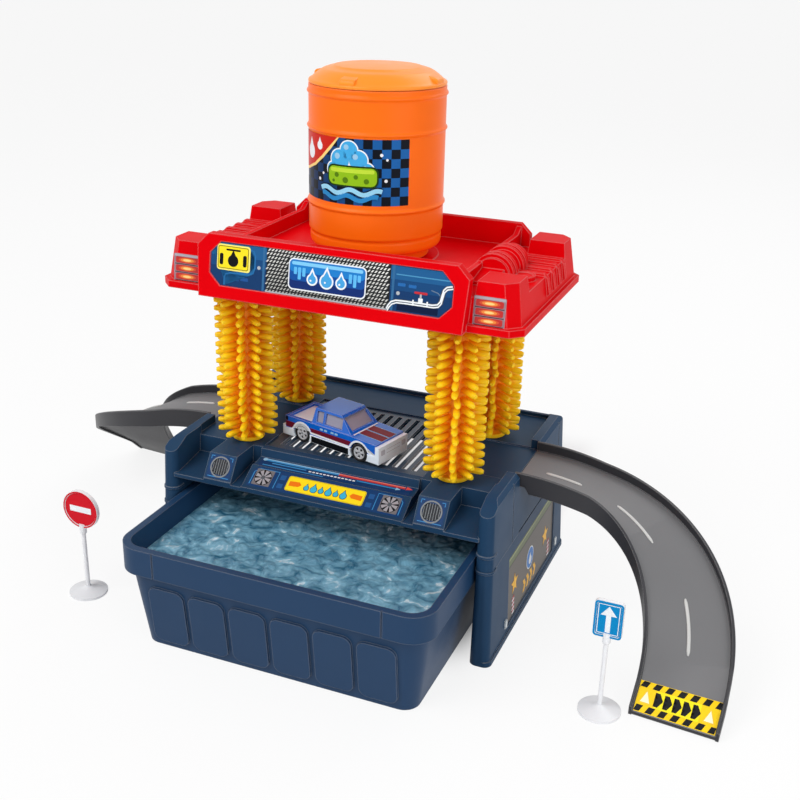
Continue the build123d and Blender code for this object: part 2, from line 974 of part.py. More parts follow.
def canopy_cavity():
    """Space under the roof, from the flange to the tray."""
    half_x, half_y = roof_half(ledge_level)
    return block(
        (roof_wall - half_x, roof_wall - half_y, canopy_bottom - overrun),
        (half_x - roof_wall, half_y - roof_wall, tray_under),
    )


def canopy_shell():
    """Roof: flange, drafted body, fascia, lamp blocks, tray and trim."""
    flange = clipped(flange_half_width, flange_half_depth, flange_clip, canopy_bottom)
    shape = extrude(flange, flange_height)
    foot = clipped(roof_foot_half_width, roof_foot_half_depth, roof_clip, roof_bottom)
    head = clipped(roof_head_half_width, roof_head_half_depth, roof_clip, ledge_level)
    shape += loft([foot, head], ruled=True)
    right_blocks = corner_block()
    right_blocks += mirror(right_blocks, about=Plane.XZ)
    shape += both_sides(right_blocks)
    shape += fascia()
    shape += rear_wall()
    shape += both_sides(tray_side())
    for step in range(rib_count):
        shape += both_sides(roof_rib(first_rib_y + step * rib_pitch))
    shape += drum()
    shape += drum_duct()
    shape += ledge_boss()
    shape -= canopy_cavity()
    low = roof_bottom - overrun
    for place in brush_places.values():
        shape += rod(socket_radius, roof_bottom, tray_under, place)
        shape -= rod(post_radius + press_gap, low, tray_under - wall + press_gap, place)
    for place in canopy_screw_places():
        shape += rod(screw_boss_radius, roof_bottom, tray_under, place)
        shape -= rod(screw_radius + press_gap, low, roof_bottom + screw_length, place)
    shape += rod(seat_outer, ledge_level - overrun, ledge_level + seat_height)
    shape -= rod(seat_inner, ledge_level, ledge_level + seat_height + overrun)
    return shape - rod(outlet_hole_radius, tray_under - overrun, ledge_level + overrun)


def canopy_screw_places():
    """Where a screw holds the shower plate to the roof."""
    return [(x, y) for x in (-screw_x, screw_x) for y in (-screw_y, screw_y)]


def screws(places, head_low, shank_high):
    """Group of pan-head screws driven upwards."""
    group = []
    for place in places:
        head_high = head_low + screw_head_height
        head = rod(screw_head_radius, head_low, head_high, place)
        group.append(head + rod(screw_radius, head_high, shank_high, place))
    return Compound(group)


def ceiling_panel():
    """Shower plate with the ring that holds the water over its holes."""
    half_x, half_y = roof_half(ledge_level)
    setback = roof_wall + press_gap
    plate = RectangleRounded(2 * (half_x - setback), 2 * (half_y - setback), ceiling_corner)
    shape = Pos(0, 0, ceiling_bottom) * extrude(plate, ceiling_plate)
    ring_top = tray_under - body_gap
    shape += rod(chamber_radius, roof_bottom, ring_top)
    shape -= rod(chamber_radius - thin_wall, roof_bottom, ring_top + overrun)
    low = ceiling_bottom - overrun
    for place in brush_places.values():
        shape -= rod(post_radius + press_gap, low, roof_bottom + overrun, place)
    for place in canopy_screw_places():
        shape -= rod(screw_radius + press_gap, low, roof_bottom + overrun, place)
    holes = rod(shower_radius, low, roof_bottom + overrun)
    for share, count in zip(shower_ring_share, shower_counts):
        for spoke in PolarLocations(chamber_radius * share, count):
            place = (spoke.position.X, spoke.position.Y)
            holes += rod(shower_radius, low, roof_bottom + overrun, place)
    return shape - holes


def outlet_seal():
    """Flat ring on the tray round the outlet hole."""
    top = ledge_level + seal_height
    ring = rod(outlet_hole_radius + seal_width, ledge_level, top)
    return ring - rod(outlet_hole_radius, ledge_level - overrun, top + overrun)


# Tank


def tank_outline(radius_cut):
    """Half outline of the tank's side with its groove and ridges, from the foot up."""
    radius = tank_radius - radius_cut
    points = [(tank_foot_radius - radius_cut, tank_foot), (radius, tank_foot + tank_foot_height)]
    groove = tank_groove_height
    points += [
        (radius, groove - ridge_half_height),
        (radius - tank_groove_depth, groove),
        (radius, groove + ridge_half_height),
    ]
    for height in ridge_heights:
        points += [
            (radius, height - ridge_half_height),
            (radius + ridge_proud, height),
            (radius, height + ridge_half_height),
        ]
    return points + [(radius, tank_top)]


def turned(points):
    """Solid of revolution about the Z axis from (radius, height) points."""
    outline = Plane.XZ * Polygon(*points, align=None)
    return revolve(outline, Axis.Z)


def tank_shell():
    """Blow-moulded tank, open above, with the outlet neck below."""
    outer = turned([(0, tank_foot)] + tank_outline(0) + [(0, tank_top)])
    inner_radius = tank_radius - tank_wall - tank_groove_depth
    inner_foot = tank_foot_radius - tank_wall - tank_groove_depth
    inner = turned(
        [
            (0, tank_foot + tank_wall),
            (inner_foot, tank_foot + tank_wall),
            (inner_radius, tank_foot + tank_wall + tank_foot_height),
            (inner_radius, tank_top + overrun),
            (0, tank_top + overrun),
        ]
    )
    shape = outer - inner
    neck_foot = tank_foot - neck_length
    shape += rod(neck_radius, neck_foot, tank_foot + tank_wall)
    return shape - rod(neck_bore, neck_foot - overrun, tank_foot + tank_wall + overrun)


def lid_lugs():
    """Raised lugs on the sloped shoulder of the lid."""
    shape = None
    top = tank_top + lug_height
    for step in range(lug_count):
        outer = tank_radius - overrun
        lug = block((outer - lug_length, -lug_width / 2, tank_top), (outer, lug_width / 2, top))
        lug = Rot(0, 0, lug_turn + 360 * step / lug_count) * lug
        shape = lug if shape is None else shape + lug
    return shape


def tank_lid():
    """Lid: rim, sloped shoulder with lugs, flat crown and the plug ring below."""
    rim_low = tank_top + body_gap
    shoulder = rim_low + lid_rim_height
    head = shoulder + lid_shoulder_height
    crown = head + lid_crown
    outline = [
        (0, rim_low),
        (tank_radius, rim_low),
        (tank_radius, shoulder),
        (lid_shoulder_radius, head),
        (lid_crown_radius, crown),
        (0, crown),
    ]
    lugs = Pos(0, 0, rim_low - tank_top) * lid_lugs()
    shape = turned(outline) + lugs
    hollow = [
        (0, rim_low - overrun),
        (tank_radius - 2 * tank_wall, rim_low - overrun),
        (tank_radius - 2 * tank_wall, shoulder - tank_wall),
        (lid_shoulder_radius - tank_wall, head - tank_wall),
        (0, head - tank_wall),
    ]
    shape -= turned(hollow)
    plug_outer = tank_radius - tank_wall - tank_groove_depth - body_gap
    low = rim_low - plug_depth
    plug = rod(plug_outer, low, shoulder - tank_wall)
    plug -= rod(plug_outer - thin_wall, low - overrun, shoulder)
    return shape + plug


def outlet_cap():
    """Cap on the tank's neck, with drip holes."""
    low = tank_foot - neck_length - cap_floor
    high = low + cap_height
    shape = rod(cap_radius, low, high)
    shape -= rod(neck_radius + press_gap, low + cap_floor, high + overrun)
    shape -= rod(cap_hole_radius, low - overrun, high)
    for spoke in PolarLocations(cap_hole_ring, cap_hole_count):
        shape -= rod(cap_hole_radius, low - overrun, high, (spoke.position.X, spoke.position.Y))
    return shape


# Ramps


def ramp_stations():
    """Distance along the ramp, place in plan and heading in degrees, one for each section."""
    stations = []
    for step in range(ramp_straight_steps):
        run = ramp_straight * step / ramp_straight_steps
        stations.append((run, ramp_mouth + run, lane_y, 0.0))
    centre_x = ramp_mouth + ramp_straight
    centre_y = lane_y - ramp_bend_radius
    for step in range(ramp_bend_steps + 1):
        turn = ramp_bend_angle * step / ramp_bend_steps
        angle = radians(turn)
        run = ramp_straight + ramp_bend_radius * angle
        x = centre_x + ramp_bend_radius * sin(angle)
        y = centre_y + ramp_bend_radius * cos(angle)
        stations.append((run, x, y, -turn))
    heading = radians(-ramp_bend_angle)
    run, x, y, turn = stations[-1]
    x += ramp_run_out * cos(heading)
    y += ramp_run_out * sin(heading)
    stations.append((run + ramp_run_out, x, y, turn))
    return stations


def ramp_section(share, x, y, turn):
    """Cross-section of the ramp: road plate between two kerbs with skirts below."""
    end_height = ramp_floor + ramp_end_skirt
    road = lane_height - (lane_height - end_height) * share**2
    kerb = ramp_kerb + (ramp_end_kerb - ramp_kerb) * share**2
    skirt = ramp_end_skirt + (ramp_skirt - ramp_end_skirt) * (1 - share) ** 0.5
    outer = ramp_half_width
    inner = ramp_half_width - ramp_wall
    low = -ramp_floor - skirt
    points = [
        (-outer, low),
        (-inner, low),
        (-inner, -ramp_floor),
        (inner, -ramp_floor),
        (inner, low),
        (outer, low),
        (outer, kerb),
        (inner, kerb),
        (inner, 0),
        (-inner, 0),
        (-inner, kerb),
        (-outer, kerb),
    ]
    heading = radians(turn)
    across = (-sin(heading), cos(heading), 0)
    plane = Plane(origin=(x, y, road), x_dir=across, z_dir=(cos(heading), sin(heading), 0))
    return plane * Polygon(*points, align=None)


def ramp_right():
    """Curved ramp from the deck to the floor, with the tongue that hooks it on."""
    stations = ramp_stations()
    length = stations[-1][0]
    sections = [ramp_section(run / length, x, y, turn) for run, x, y, turn in stations]
    shape = loft(sections, ruled=True)
    under = lane_height - ramp_floor
    reach = ramp_half_width + overrun
    deep = under - ramp_skirt - 2 * overrun
    clear = outer_face(deep) + body_gap
    mouth = ramp_mouth - overrun
    shape -= block((mouth, lane_y - reach, deep), (clear, lane_y + reach, under))
    tongue_low = (ramp_mouth, lane_y - tongue_half_width, under - tongue_depth)
    tongue_high = (ramp_mouth + tongue_thickness, lane_y + tongue_half_width, under + ramp_floor / 2)
    return shape + block(tongue_low, tongue_high)


def turned_about_lane(shape):
    """The same shape turned half round about the middle of the lane."""
    return Pos(0, lane_y, 0) * Rot(0, 0, 180) * Pos(0, -lane_y, 0) * shape


# Road signs


def sign_stand(x, y, plate_foot):
    """Round foot with its pole, up to the plate."""
    outline = [
        (0, 0),
        (sign_disc_radius, 0),
        (sign_disc_radius, sign_disc_edge),
        (sign_disc_shoulder, sign_disc_height),
        (sign_pole_radius, sign_disc_height + sign_pole_radius),
        (sign_pole_radius, plate_foot),
        (0, plate_foot),
    ]
    return Pos(x, y, 0) * turned(outline)


def sign_head(x, y, outline, recess, foot):
    """Plate that faces forward, with a raised rim and the ferrule for its pole."""
    plane = Plane(origin=(x, y - sign_plate / 2, 0), x_dir=(1, 0, 0), z_dir=(0, -1, 0))
    shape = extrude(plane * outline, -sign_plate)
    shape -= extrude(plane * recess, -sign_recess)
    low = foot - sign_ferrule_length
    ferrule = rod(sign_ferrule_radius, low, foot + sign_ferrule_length, (x, y))
    recess_floor = y - sign_plate / 2 + sign_recess
    shape += ferrule - block(
        (x - sign_ferrule_radius, y - sign_plate, foot + sign_plate),
        (x + sign_ferrule_radius, recess_floor, foot + 2 * sign_ferrule_length),
    )
    return shape - rod(sign_pole_radius + press_gap, low - overrun, foot, (x, y))


def round_sign_plate():
    """Round plate of the left sign."""
    middle = Pos(0, round_sign_centre)
    outline = middle * Circle(round_sign_radius)
    recess = middle * Circle(round_sign_radius - sign_rim)
    foot = round_sign_centre - round_sign_radius
    return sign_head(round_sign_x, round_sign_y, outline, recess, foot)


def arrow_sign_plate():
    """Upright plate of the right sign."""
    width = 2 * arrow_sign_half_width
    height = 2 * arrow_sign_half_height
    middle = Pos(0, arrow_sign_centre)
    outline = middle * RectangleRounded(width, height, arrow_sign_corner)
    inner_corner = arrow_sign_corner - sign_rim / 2
    recess = middle * RectangleRounded(width - 2 * sign_rim, height - 2 * sign_rim, inner_corner)
    foot = arrow_sign_centre - arrow_sign_half_height
    return sign_head(arrow_sign_x, arrow_sign_y, outline, recess, foot)


# Toy pickup


def on_lane(shape):
    """Puts a piece of the car from its own frame on to the deck."""
    return Pos(car_x, car_y, lane_height) * Rot(0, 0, -car_yaw) * shape


def wheel_wells():
    """Four wheel arches, cut from both sides."""
    shape = None
    for x in (-car_wheelbase / 2, car_wheelbase / 2):
        for side in (-1, 1):
            depth = arch_depth + overrun
            middle = side * (car_half_width + overrun - depth / 2)
            well = Pos(x, middle, wheel_radius) * Rot(90, 0, 0) * Cylinder(arch_radius, depth)
            shape = well if shape is None else shape + well
    return shape


def car_chassis():
    """White underpan with the bumpers, and the bearings of the axles."""
    half = car_length / 2
    side = car_half_width
    back = car_rear_cap - half
    front = half - car_front_cap
    shape = block((back, -side, car_clearance), (front, side, car_sill))
    shape += block((-half, -side, car_clearance), (back, side, car_rear_cap_height))
    shape += block((front, -side, car_clearance), (half, side, car_front_cap_height))
    shape -= wheel_wells()
    for x in (-car_wheelbase / 2, car_wheelbase / 2):
        bore = Cylinder(axle_radius + axle_gap, 2 * side)
        shape -= Pos(x, 0, wheel_radius) * Rot(90, 0, 0) * bore
    return shape


def greenhouse(inset):
    """Glasshouse of the cab, drawn in on all sides by inset."""
    foot = Pos((cab_back + cab_front) / 2, 0, car_belt) * Rectangle(
        cab_front - cab_back - 2 * inset, 2 * (cab_half_width - inset)
    )
    head = Pos((cab_roof_back + cab_roof_front) / 2, 0, car_roof - inset) * Rectangle(
        cab_roof_front - cab_roof_back - 2 * inset, 2 * (cab_roof_half_width - inset)
    )
    return loft([foot, head], ruled=True)


def car_body():
    """Blue pressed body: bonnet, bed sides and the cab with its window openings."""
    back = car_rear_cap - car_length / 2
    front = car_length / 2 - car_front_cap
    bonnet = [(cab_front, car_belt), (front, car_nose), (front, car_sill)]
    side = [(back, car_sill), (back, car_belt)] + bonnet
    shape = front_view(side, -car_body_half_width, car_body_half_width)
    shape += greenhouse(0)
    shape -= greenhouse(cab_skin) & block(
        (cab_back, -cab_half_width, car_belt), (cab_front, cab_half_width, car_roof)
    )
    shape -= window_cuts()
    bed_low = (bed_back, -bed_half_width, car_belt - bed_depth)
    shape -= block(bed_low, (bed_front, bed_half_width, car_roof))
    return shape - wheel_wells()


def window_cuts():
    """Openings for the side windows, the windscreen and the rear window."""
    far = cab_half_width + overrun
    front_end = cab_roof_front + pillar
    screen = cab_roof_half_width - pillar / 2
    openings = [
        (cab_roof_back + pillar, middle_pillar_x - pillar / 2, far),
        (middle_pillar_x + pillar / 2, front_end, far),
        (cab_roof_front - overrun, cab_front + overrun, screen),
        (cab_back - overrun, cab_roof_back + overrun, screen),
    ]
    shape = None
    for low_x, high_x, half in openings:
        opening = block((low_x, -half, window_sill), (high_x, half, window_head))
        shape = opening if shape is None else shape + opening
    return shape


def car_windows():
    """Clear moulding inside the cab."""
    low = car_belt + press_gap
    return greenhouse(cab_skin + press_gap) & block(
        (cab_back, -cab_half_width, low), (cab_front, cab_half_width, car_roof)
    )


def car_bed():
    """White floor plate of the load bed."""
    floor = car_belt - bed_depth
    return block(
        (bed_back + press_gap, press_gap - bed_half_width, floor),
        (bed_front - press_gap, bed_half_width - press_gap, floor + bed_plate),
    )


def axle(x):
    """Axle across the car, between the outer faces of its wheels."""
    half = car_half_width - wheel_setback - wheel_dish
    return Pos(x, 0, wheel_radius) * Rot(90, 0, 0) * Cylinder(axle_radius, 2 * half)


def wheel(x, side):
    """Wheel with a dished outer face and the hole for its axle."""
    middle = car_half_width - wheel_setback - wheel_width / 2
    shape = Cylinder(wheel_radius, wheel_width)
    shape -= Pos(0, 0, wheel_width / 2) * Cylinder(wheel_rim_radius, 2 * wheel_dish)
    shape -= Cylinder(axle_radius, wheel_width + overrun)
    return Pos(x, side * middle, wheel_radius) * Rot(-90 * side, 0, 0) * shape


# Assembly


def pieces():
    """Every node of the playset by name."""
    stand = right_stand()
    studs = stud_blocks()
    ramp = ramp_right()
    roller = brush()
    nodes = {
        "deck_housing": deck_housing(),
        "deck_grate": deck_grate(),
        "side_stand_right": stand,
        "side_stand_left": mirror(stand, about=Plane.YZ),
        "side_studs": Compound(studs + [mirror(stud, about=Plane.YZ) for stud in studs]),
        "wash_tub": wash_tub(),
        "canopy_shell": canopy_shell(),
        "ceiling_panel": ceiling_panel(),
        "outlet_seal": outlet_seal(),
        "tank_shell": tank_shell(),
        "tank_lid": tank_lid(),
        "outlet_cap": outlet_cap(),
        "ramp_right": ramp,
        "ramp_left": turned_about_lane(ramp),
        "round_sign_plate": round_sign_plate(),
        "arrow_sign_plate": arrow_sign_plate(),
        "car_chassis": on_lane(car_chassis()),
        "car_body": on_lane(car_body()),
        "car_windows": on_lane(car_windows()),
        "car_bed": on_lane(car_bed()),
    }
    for name, place in brush_places.items():
        nodes[f"post_{name}"] = post(place)
        nodes[f"brush_{name}"] = Pos(place[0], place[1], 0) * roller
    round_foot = round_sign_centre - round_sign_radius
    arrow_foot = arrow_sign_centre - arrow_sign_half_height
    nodes["round_sign_stand"] = sign_stand(round_sign_x, round_sign_y, round_foot)
    nodes["arrow_sign_stand"] = sign_stand(arrow_sign_x, arrow_sign_y, arrow_foot)
    for end, x in (("front", car_wheelbase / 2), ("rear", -car_wheelbase / 2)):
        nodes[f"{end}_axle"] = on_lane(axle(x))
        nodes[f"{end}_wheel_left"] = on_lane(wheel(x, 1))
        nodes[f"{end}_wheel_right"] = on_lane(wheel(x, -1))
    under_roof = stand_height - wall - screw_head_height
    base_places = [(side * x, y) for side in (-1, 1) for x, y in screw_places()]
    shank = screw_length - press_gap
    nodes["base_screws"] = screws(base_places, under_roof, stand_height + shank)
    under_plate = ceiling_bottom - screw_head_height
    nodes["canopy_screws"] = screws(canopy_screw_places(), under_plate, roof_bottom + shank)
    return nodes


def footprint_shift(nodes):
    """Move that puts the origin on the floor under the middle of the whole set."""
    boxes = [shape.bounding_box() for shape in nodes.values()]
    middle_x = (min(box.min.X for box in boxes) + max(box.max.X for box in boxes)) / 2
    middle_y = (min(box.min.Y for box in boxes) + max(box.max.Y for box in boxes)) / 2
    floor = min(box.min.Z for box in boxes)
    return Pos(-middle_x, -middle_y, -floor)


playset = pieces()
origin_shift = footprint_shift(playset)
os.makedirs("parts", exist_ok=True)
for node_name, node_shape in playset.items():
    export_step(origin_shift * node_shape, f"parts/{node_name}.step")
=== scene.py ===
import json
import math

import bmesh
import bpy
import numpy as np
from mathutils import Matrix, Vector

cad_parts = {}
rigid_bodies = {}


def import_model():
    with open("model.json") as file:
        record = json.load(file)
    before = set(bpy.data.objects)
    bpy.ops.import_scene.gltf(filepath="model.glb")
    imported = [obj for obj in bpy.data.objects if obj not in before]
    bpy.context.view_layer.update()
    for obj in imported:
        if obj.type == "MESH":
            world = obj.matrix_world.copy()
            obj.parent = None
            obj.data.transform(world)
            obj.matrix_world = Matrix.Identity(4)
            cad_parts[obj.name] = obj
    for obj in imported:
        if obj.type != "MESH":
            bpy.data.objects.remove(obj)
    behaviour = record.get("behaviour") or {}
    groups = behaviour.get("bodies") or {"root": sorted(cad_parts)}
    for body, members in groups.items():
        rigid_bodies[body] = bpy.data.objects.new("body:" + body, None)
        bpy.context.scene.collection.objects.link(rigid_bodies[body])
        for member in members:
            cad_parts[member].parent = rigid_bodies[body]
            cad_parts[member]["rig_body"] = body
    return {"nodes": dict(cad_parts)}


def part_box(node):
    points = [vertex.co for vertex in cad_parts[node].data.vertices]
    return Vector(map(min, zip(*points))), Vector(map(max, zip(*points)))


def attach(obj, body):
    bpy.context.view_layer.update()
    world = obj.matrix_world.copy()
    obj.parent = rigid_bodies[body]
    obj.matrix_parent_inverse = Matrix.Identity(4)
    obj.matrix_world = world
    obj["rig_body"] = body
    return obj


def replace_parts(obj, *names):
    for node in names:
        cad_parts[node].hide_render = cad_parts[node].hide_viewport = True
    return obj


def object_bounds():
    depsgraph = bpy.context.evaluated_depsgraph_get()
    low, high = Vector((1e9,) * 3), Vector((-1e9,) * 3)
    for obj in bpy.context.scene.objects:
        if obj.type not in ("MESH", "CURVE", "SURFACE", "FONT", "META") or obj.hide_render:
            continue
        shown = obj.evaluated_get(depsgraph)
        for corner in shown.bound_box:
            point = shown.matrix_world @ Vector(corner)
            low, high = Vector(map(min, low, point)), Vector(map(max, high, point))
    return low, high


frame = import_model()
cad_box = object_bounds()
scene = bpy.context.scene

# The set stands on a pale table and is seen from its front right, from above.
# Places are given in millimetres right of, behind and above the middle of the base.
stand_low, stand_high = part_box("side_stand_right")
base_middle = Vector((0, (stand_low.y + stand_high.y) / 2 + 0.0005, 0))


def at(x, y, z):
    """Place in metres from millimetres about the middle of the base."""
    return base_middle + Vector((x, y, z)) / 1000


view_yaw, view_pitch, view_roll = (math.radians(turn) for turn in (21.96, 22.44, 1.38))
forward = Vector(
    (
        -math.sin(view_yaw) * math.cos(view_pitch),
        math.cos(view_yaw) * math.cos(view_pitch),
        -math.sin(view_pitch),
    )
)
level = Vector((math.cos(view_yaw), math.sin(view_yaw), 0))
upright = level.cross(forward)
camera_right = level * math.cos(view_roll) + upright * math.sin(view_roll)
camera_up = upright * math.cos(view_roll) - level * math.sin(view_roll)
camera_data = bpy.data.cameras.new("studio_camera")
camera_data.lens = 51.62
camera_data.sensor_width = 36
camera_data.clip_start = 0.01
camera = bpy.data.objects.new("studio_camera", camera_data)
turn_matrix = Matrix((camera_right, camera_up, -forward)).transposed().to_4x4()
camera.matrix_world = Matrix.Translation(at(253.79, -586.49, 376.4)) @ turn_matrix
scene.collection.objects.link(camera)
scene.camera = camera
scene.view_settings.view_transform = "Standard"


def lamp(name, place, aim, size, power):
    """Soft square lamp that looks at a point."""
    data = bpy.data.lights.new(name, "AREA")
    data.size = size
    data.energy = power
    piece = bpy.data.objects.new(name, data)
    piece.location = at(*place)
    piece.rotation_euler = (at(*aim) - at(*place)).to_track_quat("-Z", "Y").to_euler()
    scene.collection.objects.link(piece)


lamp("key_lamp", (-500, -900, 1250), (0, 0, 120), 0.9, 13.0)
lamp("fill_lamp", (1150, -600, 600), (0, 0, 100), 1.0, 5.8)
lamp("back_lamp", (300, 900, 1100), (0, 0, 150), 0.8, 4.5)


def wire(tree, made, inputs):
    """Sets inputs of a node by name or number, each to a value or to another node's output."""
    for key, value in inputs.items():
        if isinstance(value, bpy.types.NodeSocket):
            tree.links.new(value, made.inputs[key])
        else:
            made.inputs[key].default_value = value


def add_node(tree, kind, inputs=None, **settings):
    """New node of a tree with its settings and its inputs."""
    made = tree.nodes.new(kind)
    for name, value in settings.items():
        setattr(made, name, value)
    wire(tree, made, inputs or {})
    return made


def maths(tree, operation, *values):
    """Result of a maths node."""
    return add_node(tree, "ShaderNodeMath", dict(enumerate(values)), operation=operation).outputs[0]


def ranged(tree, value, low, high, start=0.0, end=1.0, **settings):
    """Number that runs from low to high while a value runs from start to end."""
    inputs = {"Value": value, "From Min": start, "From Max": end, "To Min": low, "To Max": high}
    return add_node(tree, "ShaderNodeMapRange", inputs, **settings).outputs["Result"]


def new_material(name):
    """Node material with its tree and its shader."""
    made = bpy.data.materials.new(name)
    made.use_nodes = True
    return made, made.node_tree, made.node_tree.nodes["Principled BSDF"]


def backdrop_share(tree, share):
    """Mask of the rays that see the backdrop as plain white."""
    rays = add_node(tree, "ShaderNodeLightPath").outputs
    seen = maths(tree, "MAXIMUM", rays["Is Camera Ray"], rays["Is Glossy Ray"])
    return maths(tree, "MULTIPLY", maths(tree, "MAXIMUM", seen, rays["Is Transmission Ray"]), share)


def blend_surface(tree, share, first, second, end):
    """Sends two shaders, mixed by a share, to the end node of a tree."""
    mix = add_node(tree, "ShaderNodeMixShader", {0: share, 1: first.outputs[0], 2: second.outputs[0]})
    wire(tree, tree.nodes[end], {"Surface": mix.outputs[0]})


white = (1, 1, 1, 1)
world = bpy.data.worlds.new("studio")
world.use_nodes = True
scene.world = world
sky_tree = world.node_tree
soft_sky = sky_tree.nodes["Background"]
wire(sky_tree, soft_sky, {"Color": white, "Strength": 0.42})
white_sky = add_node(sky_tree, "ShaderNodeBackground", {"Color": white, "Strength": 1.0})
blend_surface(sky_tree, backdrop_share(sky_tree, 1.0), soft_sky, white_sky, "World Output")

table_material, table_tree, table_shader = new_material("table_top")
wire(table_tree, table_shader, {"Base Color": (0.93, 0.93, 0.935, 1), "Roughness": 0.6})
table_glow = add_node(table_tree, "ShaderNodeEmission", {"Color": white})
table_place = add_node(table_tree, "ShaderNodeTexCoord").outputs["Object"]
table_axes = add_node(table_tree, "ShaderNodeSeparateXYZ", {0: table_place}).outputs
white_share, shade_depth = 0.86, 0.94
shades = []
for axis, middle, inner_reach, outer_reach in (
    ("X", base_middle.x, 0.075, 0.1),
    ("Y", base_middle.y + 0.08, 0.12, 0.18),
):
    away = maths(table_tree, "ABSOLUTE", maths(table_tree, "SUBTRACT", table_axes[axis], middle))
    fade = ranged(table_tree, away, 1.0, 0.0, inner_reach, outer_reach, interpolation_type="SMOOTHSTEP")
    shades.append(fade)
uncovered = maths(table_tree, "MULTIPLY_ADD", maths(table_tree, "MULTIPLY", *shades), -shade_depth, 1.0)
table_share = maths(table_tree, "MULTIPLY", backdrop_share(table_tree, white_share), uncovered)
blend_surface(table_tree, table_share, table_shader, table_glow, "Material Output")
table_mesh = bpy.data.meshes.new("table")
table_reach = 30
table_corners = [(x * table_reach, y * table_reach, 0) for x, y in ((-1, -1), (1, -1), (1, 1), (-1, 1))]
table_mesh.from_pydata(table_corners, [], [(0, 1, 2, 3)])
table_mesh.materials.append(table_material)
table = bpy.data.objects.new("table", table_mesh)
scene.collection.objects.link(table)

# Side stands, deck housing and drain grate: injection-moulded navy plastic with a
# satin skin. The stands are screwed under the housing, and the grate lies in the deck.


def noise(tree, scale, detail=2.0, **inputs):
    """Noise in the object's own coordinates."""
    place = add_node(tree, "ShaderNodeTexCoord").outputs["Object"]
    inputs.update({"Scale": scale, "Detail": detail, "Vector": place})
    return add_node(tree, "ShaderNodeTexNoise", inputs).outputs["Fac"]


def scaled(tree, colour, share):
    """Colour times a share."""
    inputs = {0: colour, "Scale": share}
    return add_node(tree, "ShaderNodeVectorMath", inputs, operation="SCALE").outputs[0]


def moulded_skin_group():
    """Skin of a moulding: slight colour drift, softened edges painted lighter as an edge highlight with a
    little wear, fine grain and smudges.
    """
    group = bpy.data.node_groups.new("moulded_skin", "ShaderNodeTree")
    colour, number, vector = "NodeSocketColor", "NodeSocketFloat", "NodeSocketVector"
    for name, kind, value in (
        ("Colour", colour, (0.5, 0.5, 0.5, 1)),
        ("Edge Highlight And Wear", number, 0.25),
        ("Edge Radius", number, 0.0005),
        ("Grain Size", number, 0.0004),
        ("Grain", number, 0.12),
        ("Roughness", number, 0.3),
    ):
        group.interface.new_socket(name, in_out="INPUT", socket_type=kind).default_value = value
    for name, kind in (("Colour", colour), ("Roughness", number), ("Normal", vector)):
        group.interface.new_socket(name, in_out="OUTPUT", socket_type=kind)
    given = add_node(group, "NodeGroupInput").outputs
    soft = add_node(group, "ShaderNodeBevel", {"Radius": given["Edge Radius"]}, samples=4).outputs[0]
    true_side = add_node(group, "ShaderNodeNewGeometry").outputs["Normal"]
    facing = add_node(group, "ShaderNodeVectorMath", {0: soft, 1: true_side}, operation="DOT_PRODUCT")
    edge = ranged(group, facing.outputs["Value"], 0.0, 1.0, 0.995, 0.82)
    # Convex edges are mixed toward white: a painted edge highlight, with a little edge wear.
    lift = maths(group, "MULTIPLY", edge, given["Edge Highlight And Wear"])
    drift = scaled(group, given["Colour"], ranged(group, noise(group, 22, 3), 0.94, 1.06))
    edge_highlight_and_wear = add_node(group, "ShaderNodeMix", {"Factor": lift, "A": drift, "B": white}, data_type="RGBA")
    smudge = ranged(group, noise(group, 60, 4), -0.06, 0.06)
    rough = add_node(
        group, "ShaderNodeMath", {0: given["Roughness"], 1: smudge}, operation="ADD", use_clamp=True
    )
    grain = noise(group, maths(group, "DIVIDE", 1, given["Grain Size"]))
    bump_inputs = {"Strength": given["Grain"], "Distance": 0.00006, "Height": grain, "Normal": soft}
    bump = add_node(group, "ShaderNodeBump", bump_inputs)
    skin = {"Colour": edge_highlight_and_wear.outputs["Result"], "Roughness": rough.outputs[0], "Normal": bump.outputs[0]}
    add_node(group, "NodeGroupOutput", skin)
    return group


moulded_skin = moulded_skin_group()


def moulded(name, colour, roughness=0.3, lift=0.2, radius=0.0006, grain=0.12, grain_size=0.0004, gloss=0.3):
    """Moulded plastic of one colour; a lift paints its convex edges lighter, a painted edge highlight with a
    little wear.
    """
    made, tree, shader = new_material(name)
    values = {
        "Colour": (*colour, 1),
        "Roughness": roughness,
        "Edge Highlight And Wear": lift,
        "Edge Radius": radius,
        "Grain": grain,
        "Grain Size": grain_size,
    }
    skin = add_node(tree, "ShaderNodeGroup", values, node_tree=moulded_skin).outputs
    wire(tree, shader, {"Base Color": skin["Colour"], "Roughness": skin["Roughness"]})
    wire(tree, shader, {"Normal": skin["Normal"], "IOR": 1.5, "Specular IOR Level": gloss})
    return made


def paint(red, green, blue):
    """Scene colour of an sRGB colour given in 0 to 255."""
    shares = [part / 255 for part in (red, green, blue)]
    return tuple(s / 12.92 if s <= 0.04045 else ((s + 0.055) / 1.055) ** 2.4 for s in shares)


def put(mesh, name, body, slot, *materials):
    """Object of a finished mesh that rides on a body."""
    for made in materials:
        mesh.materials.append(made)
    piece = bpy.data.objects.new(name, mesh)
    scene.collection.objects.link(piece)
    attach(piece, body)
    return piece


def smoothed(mesh, turn=32):
    """Smooth shading that keeps the corners sharper than a turn in degrees."""
    for name in ("custom_normal", "sharp_face", "sharp_edge"):
        if name in mesh.attributes:
            mesh.attributes.remove(mesh.attributes[name])
    mesh.shade_smooth()
    mesh.set_sharp_from_angle(angle=math.radians(turn))
    return mesh


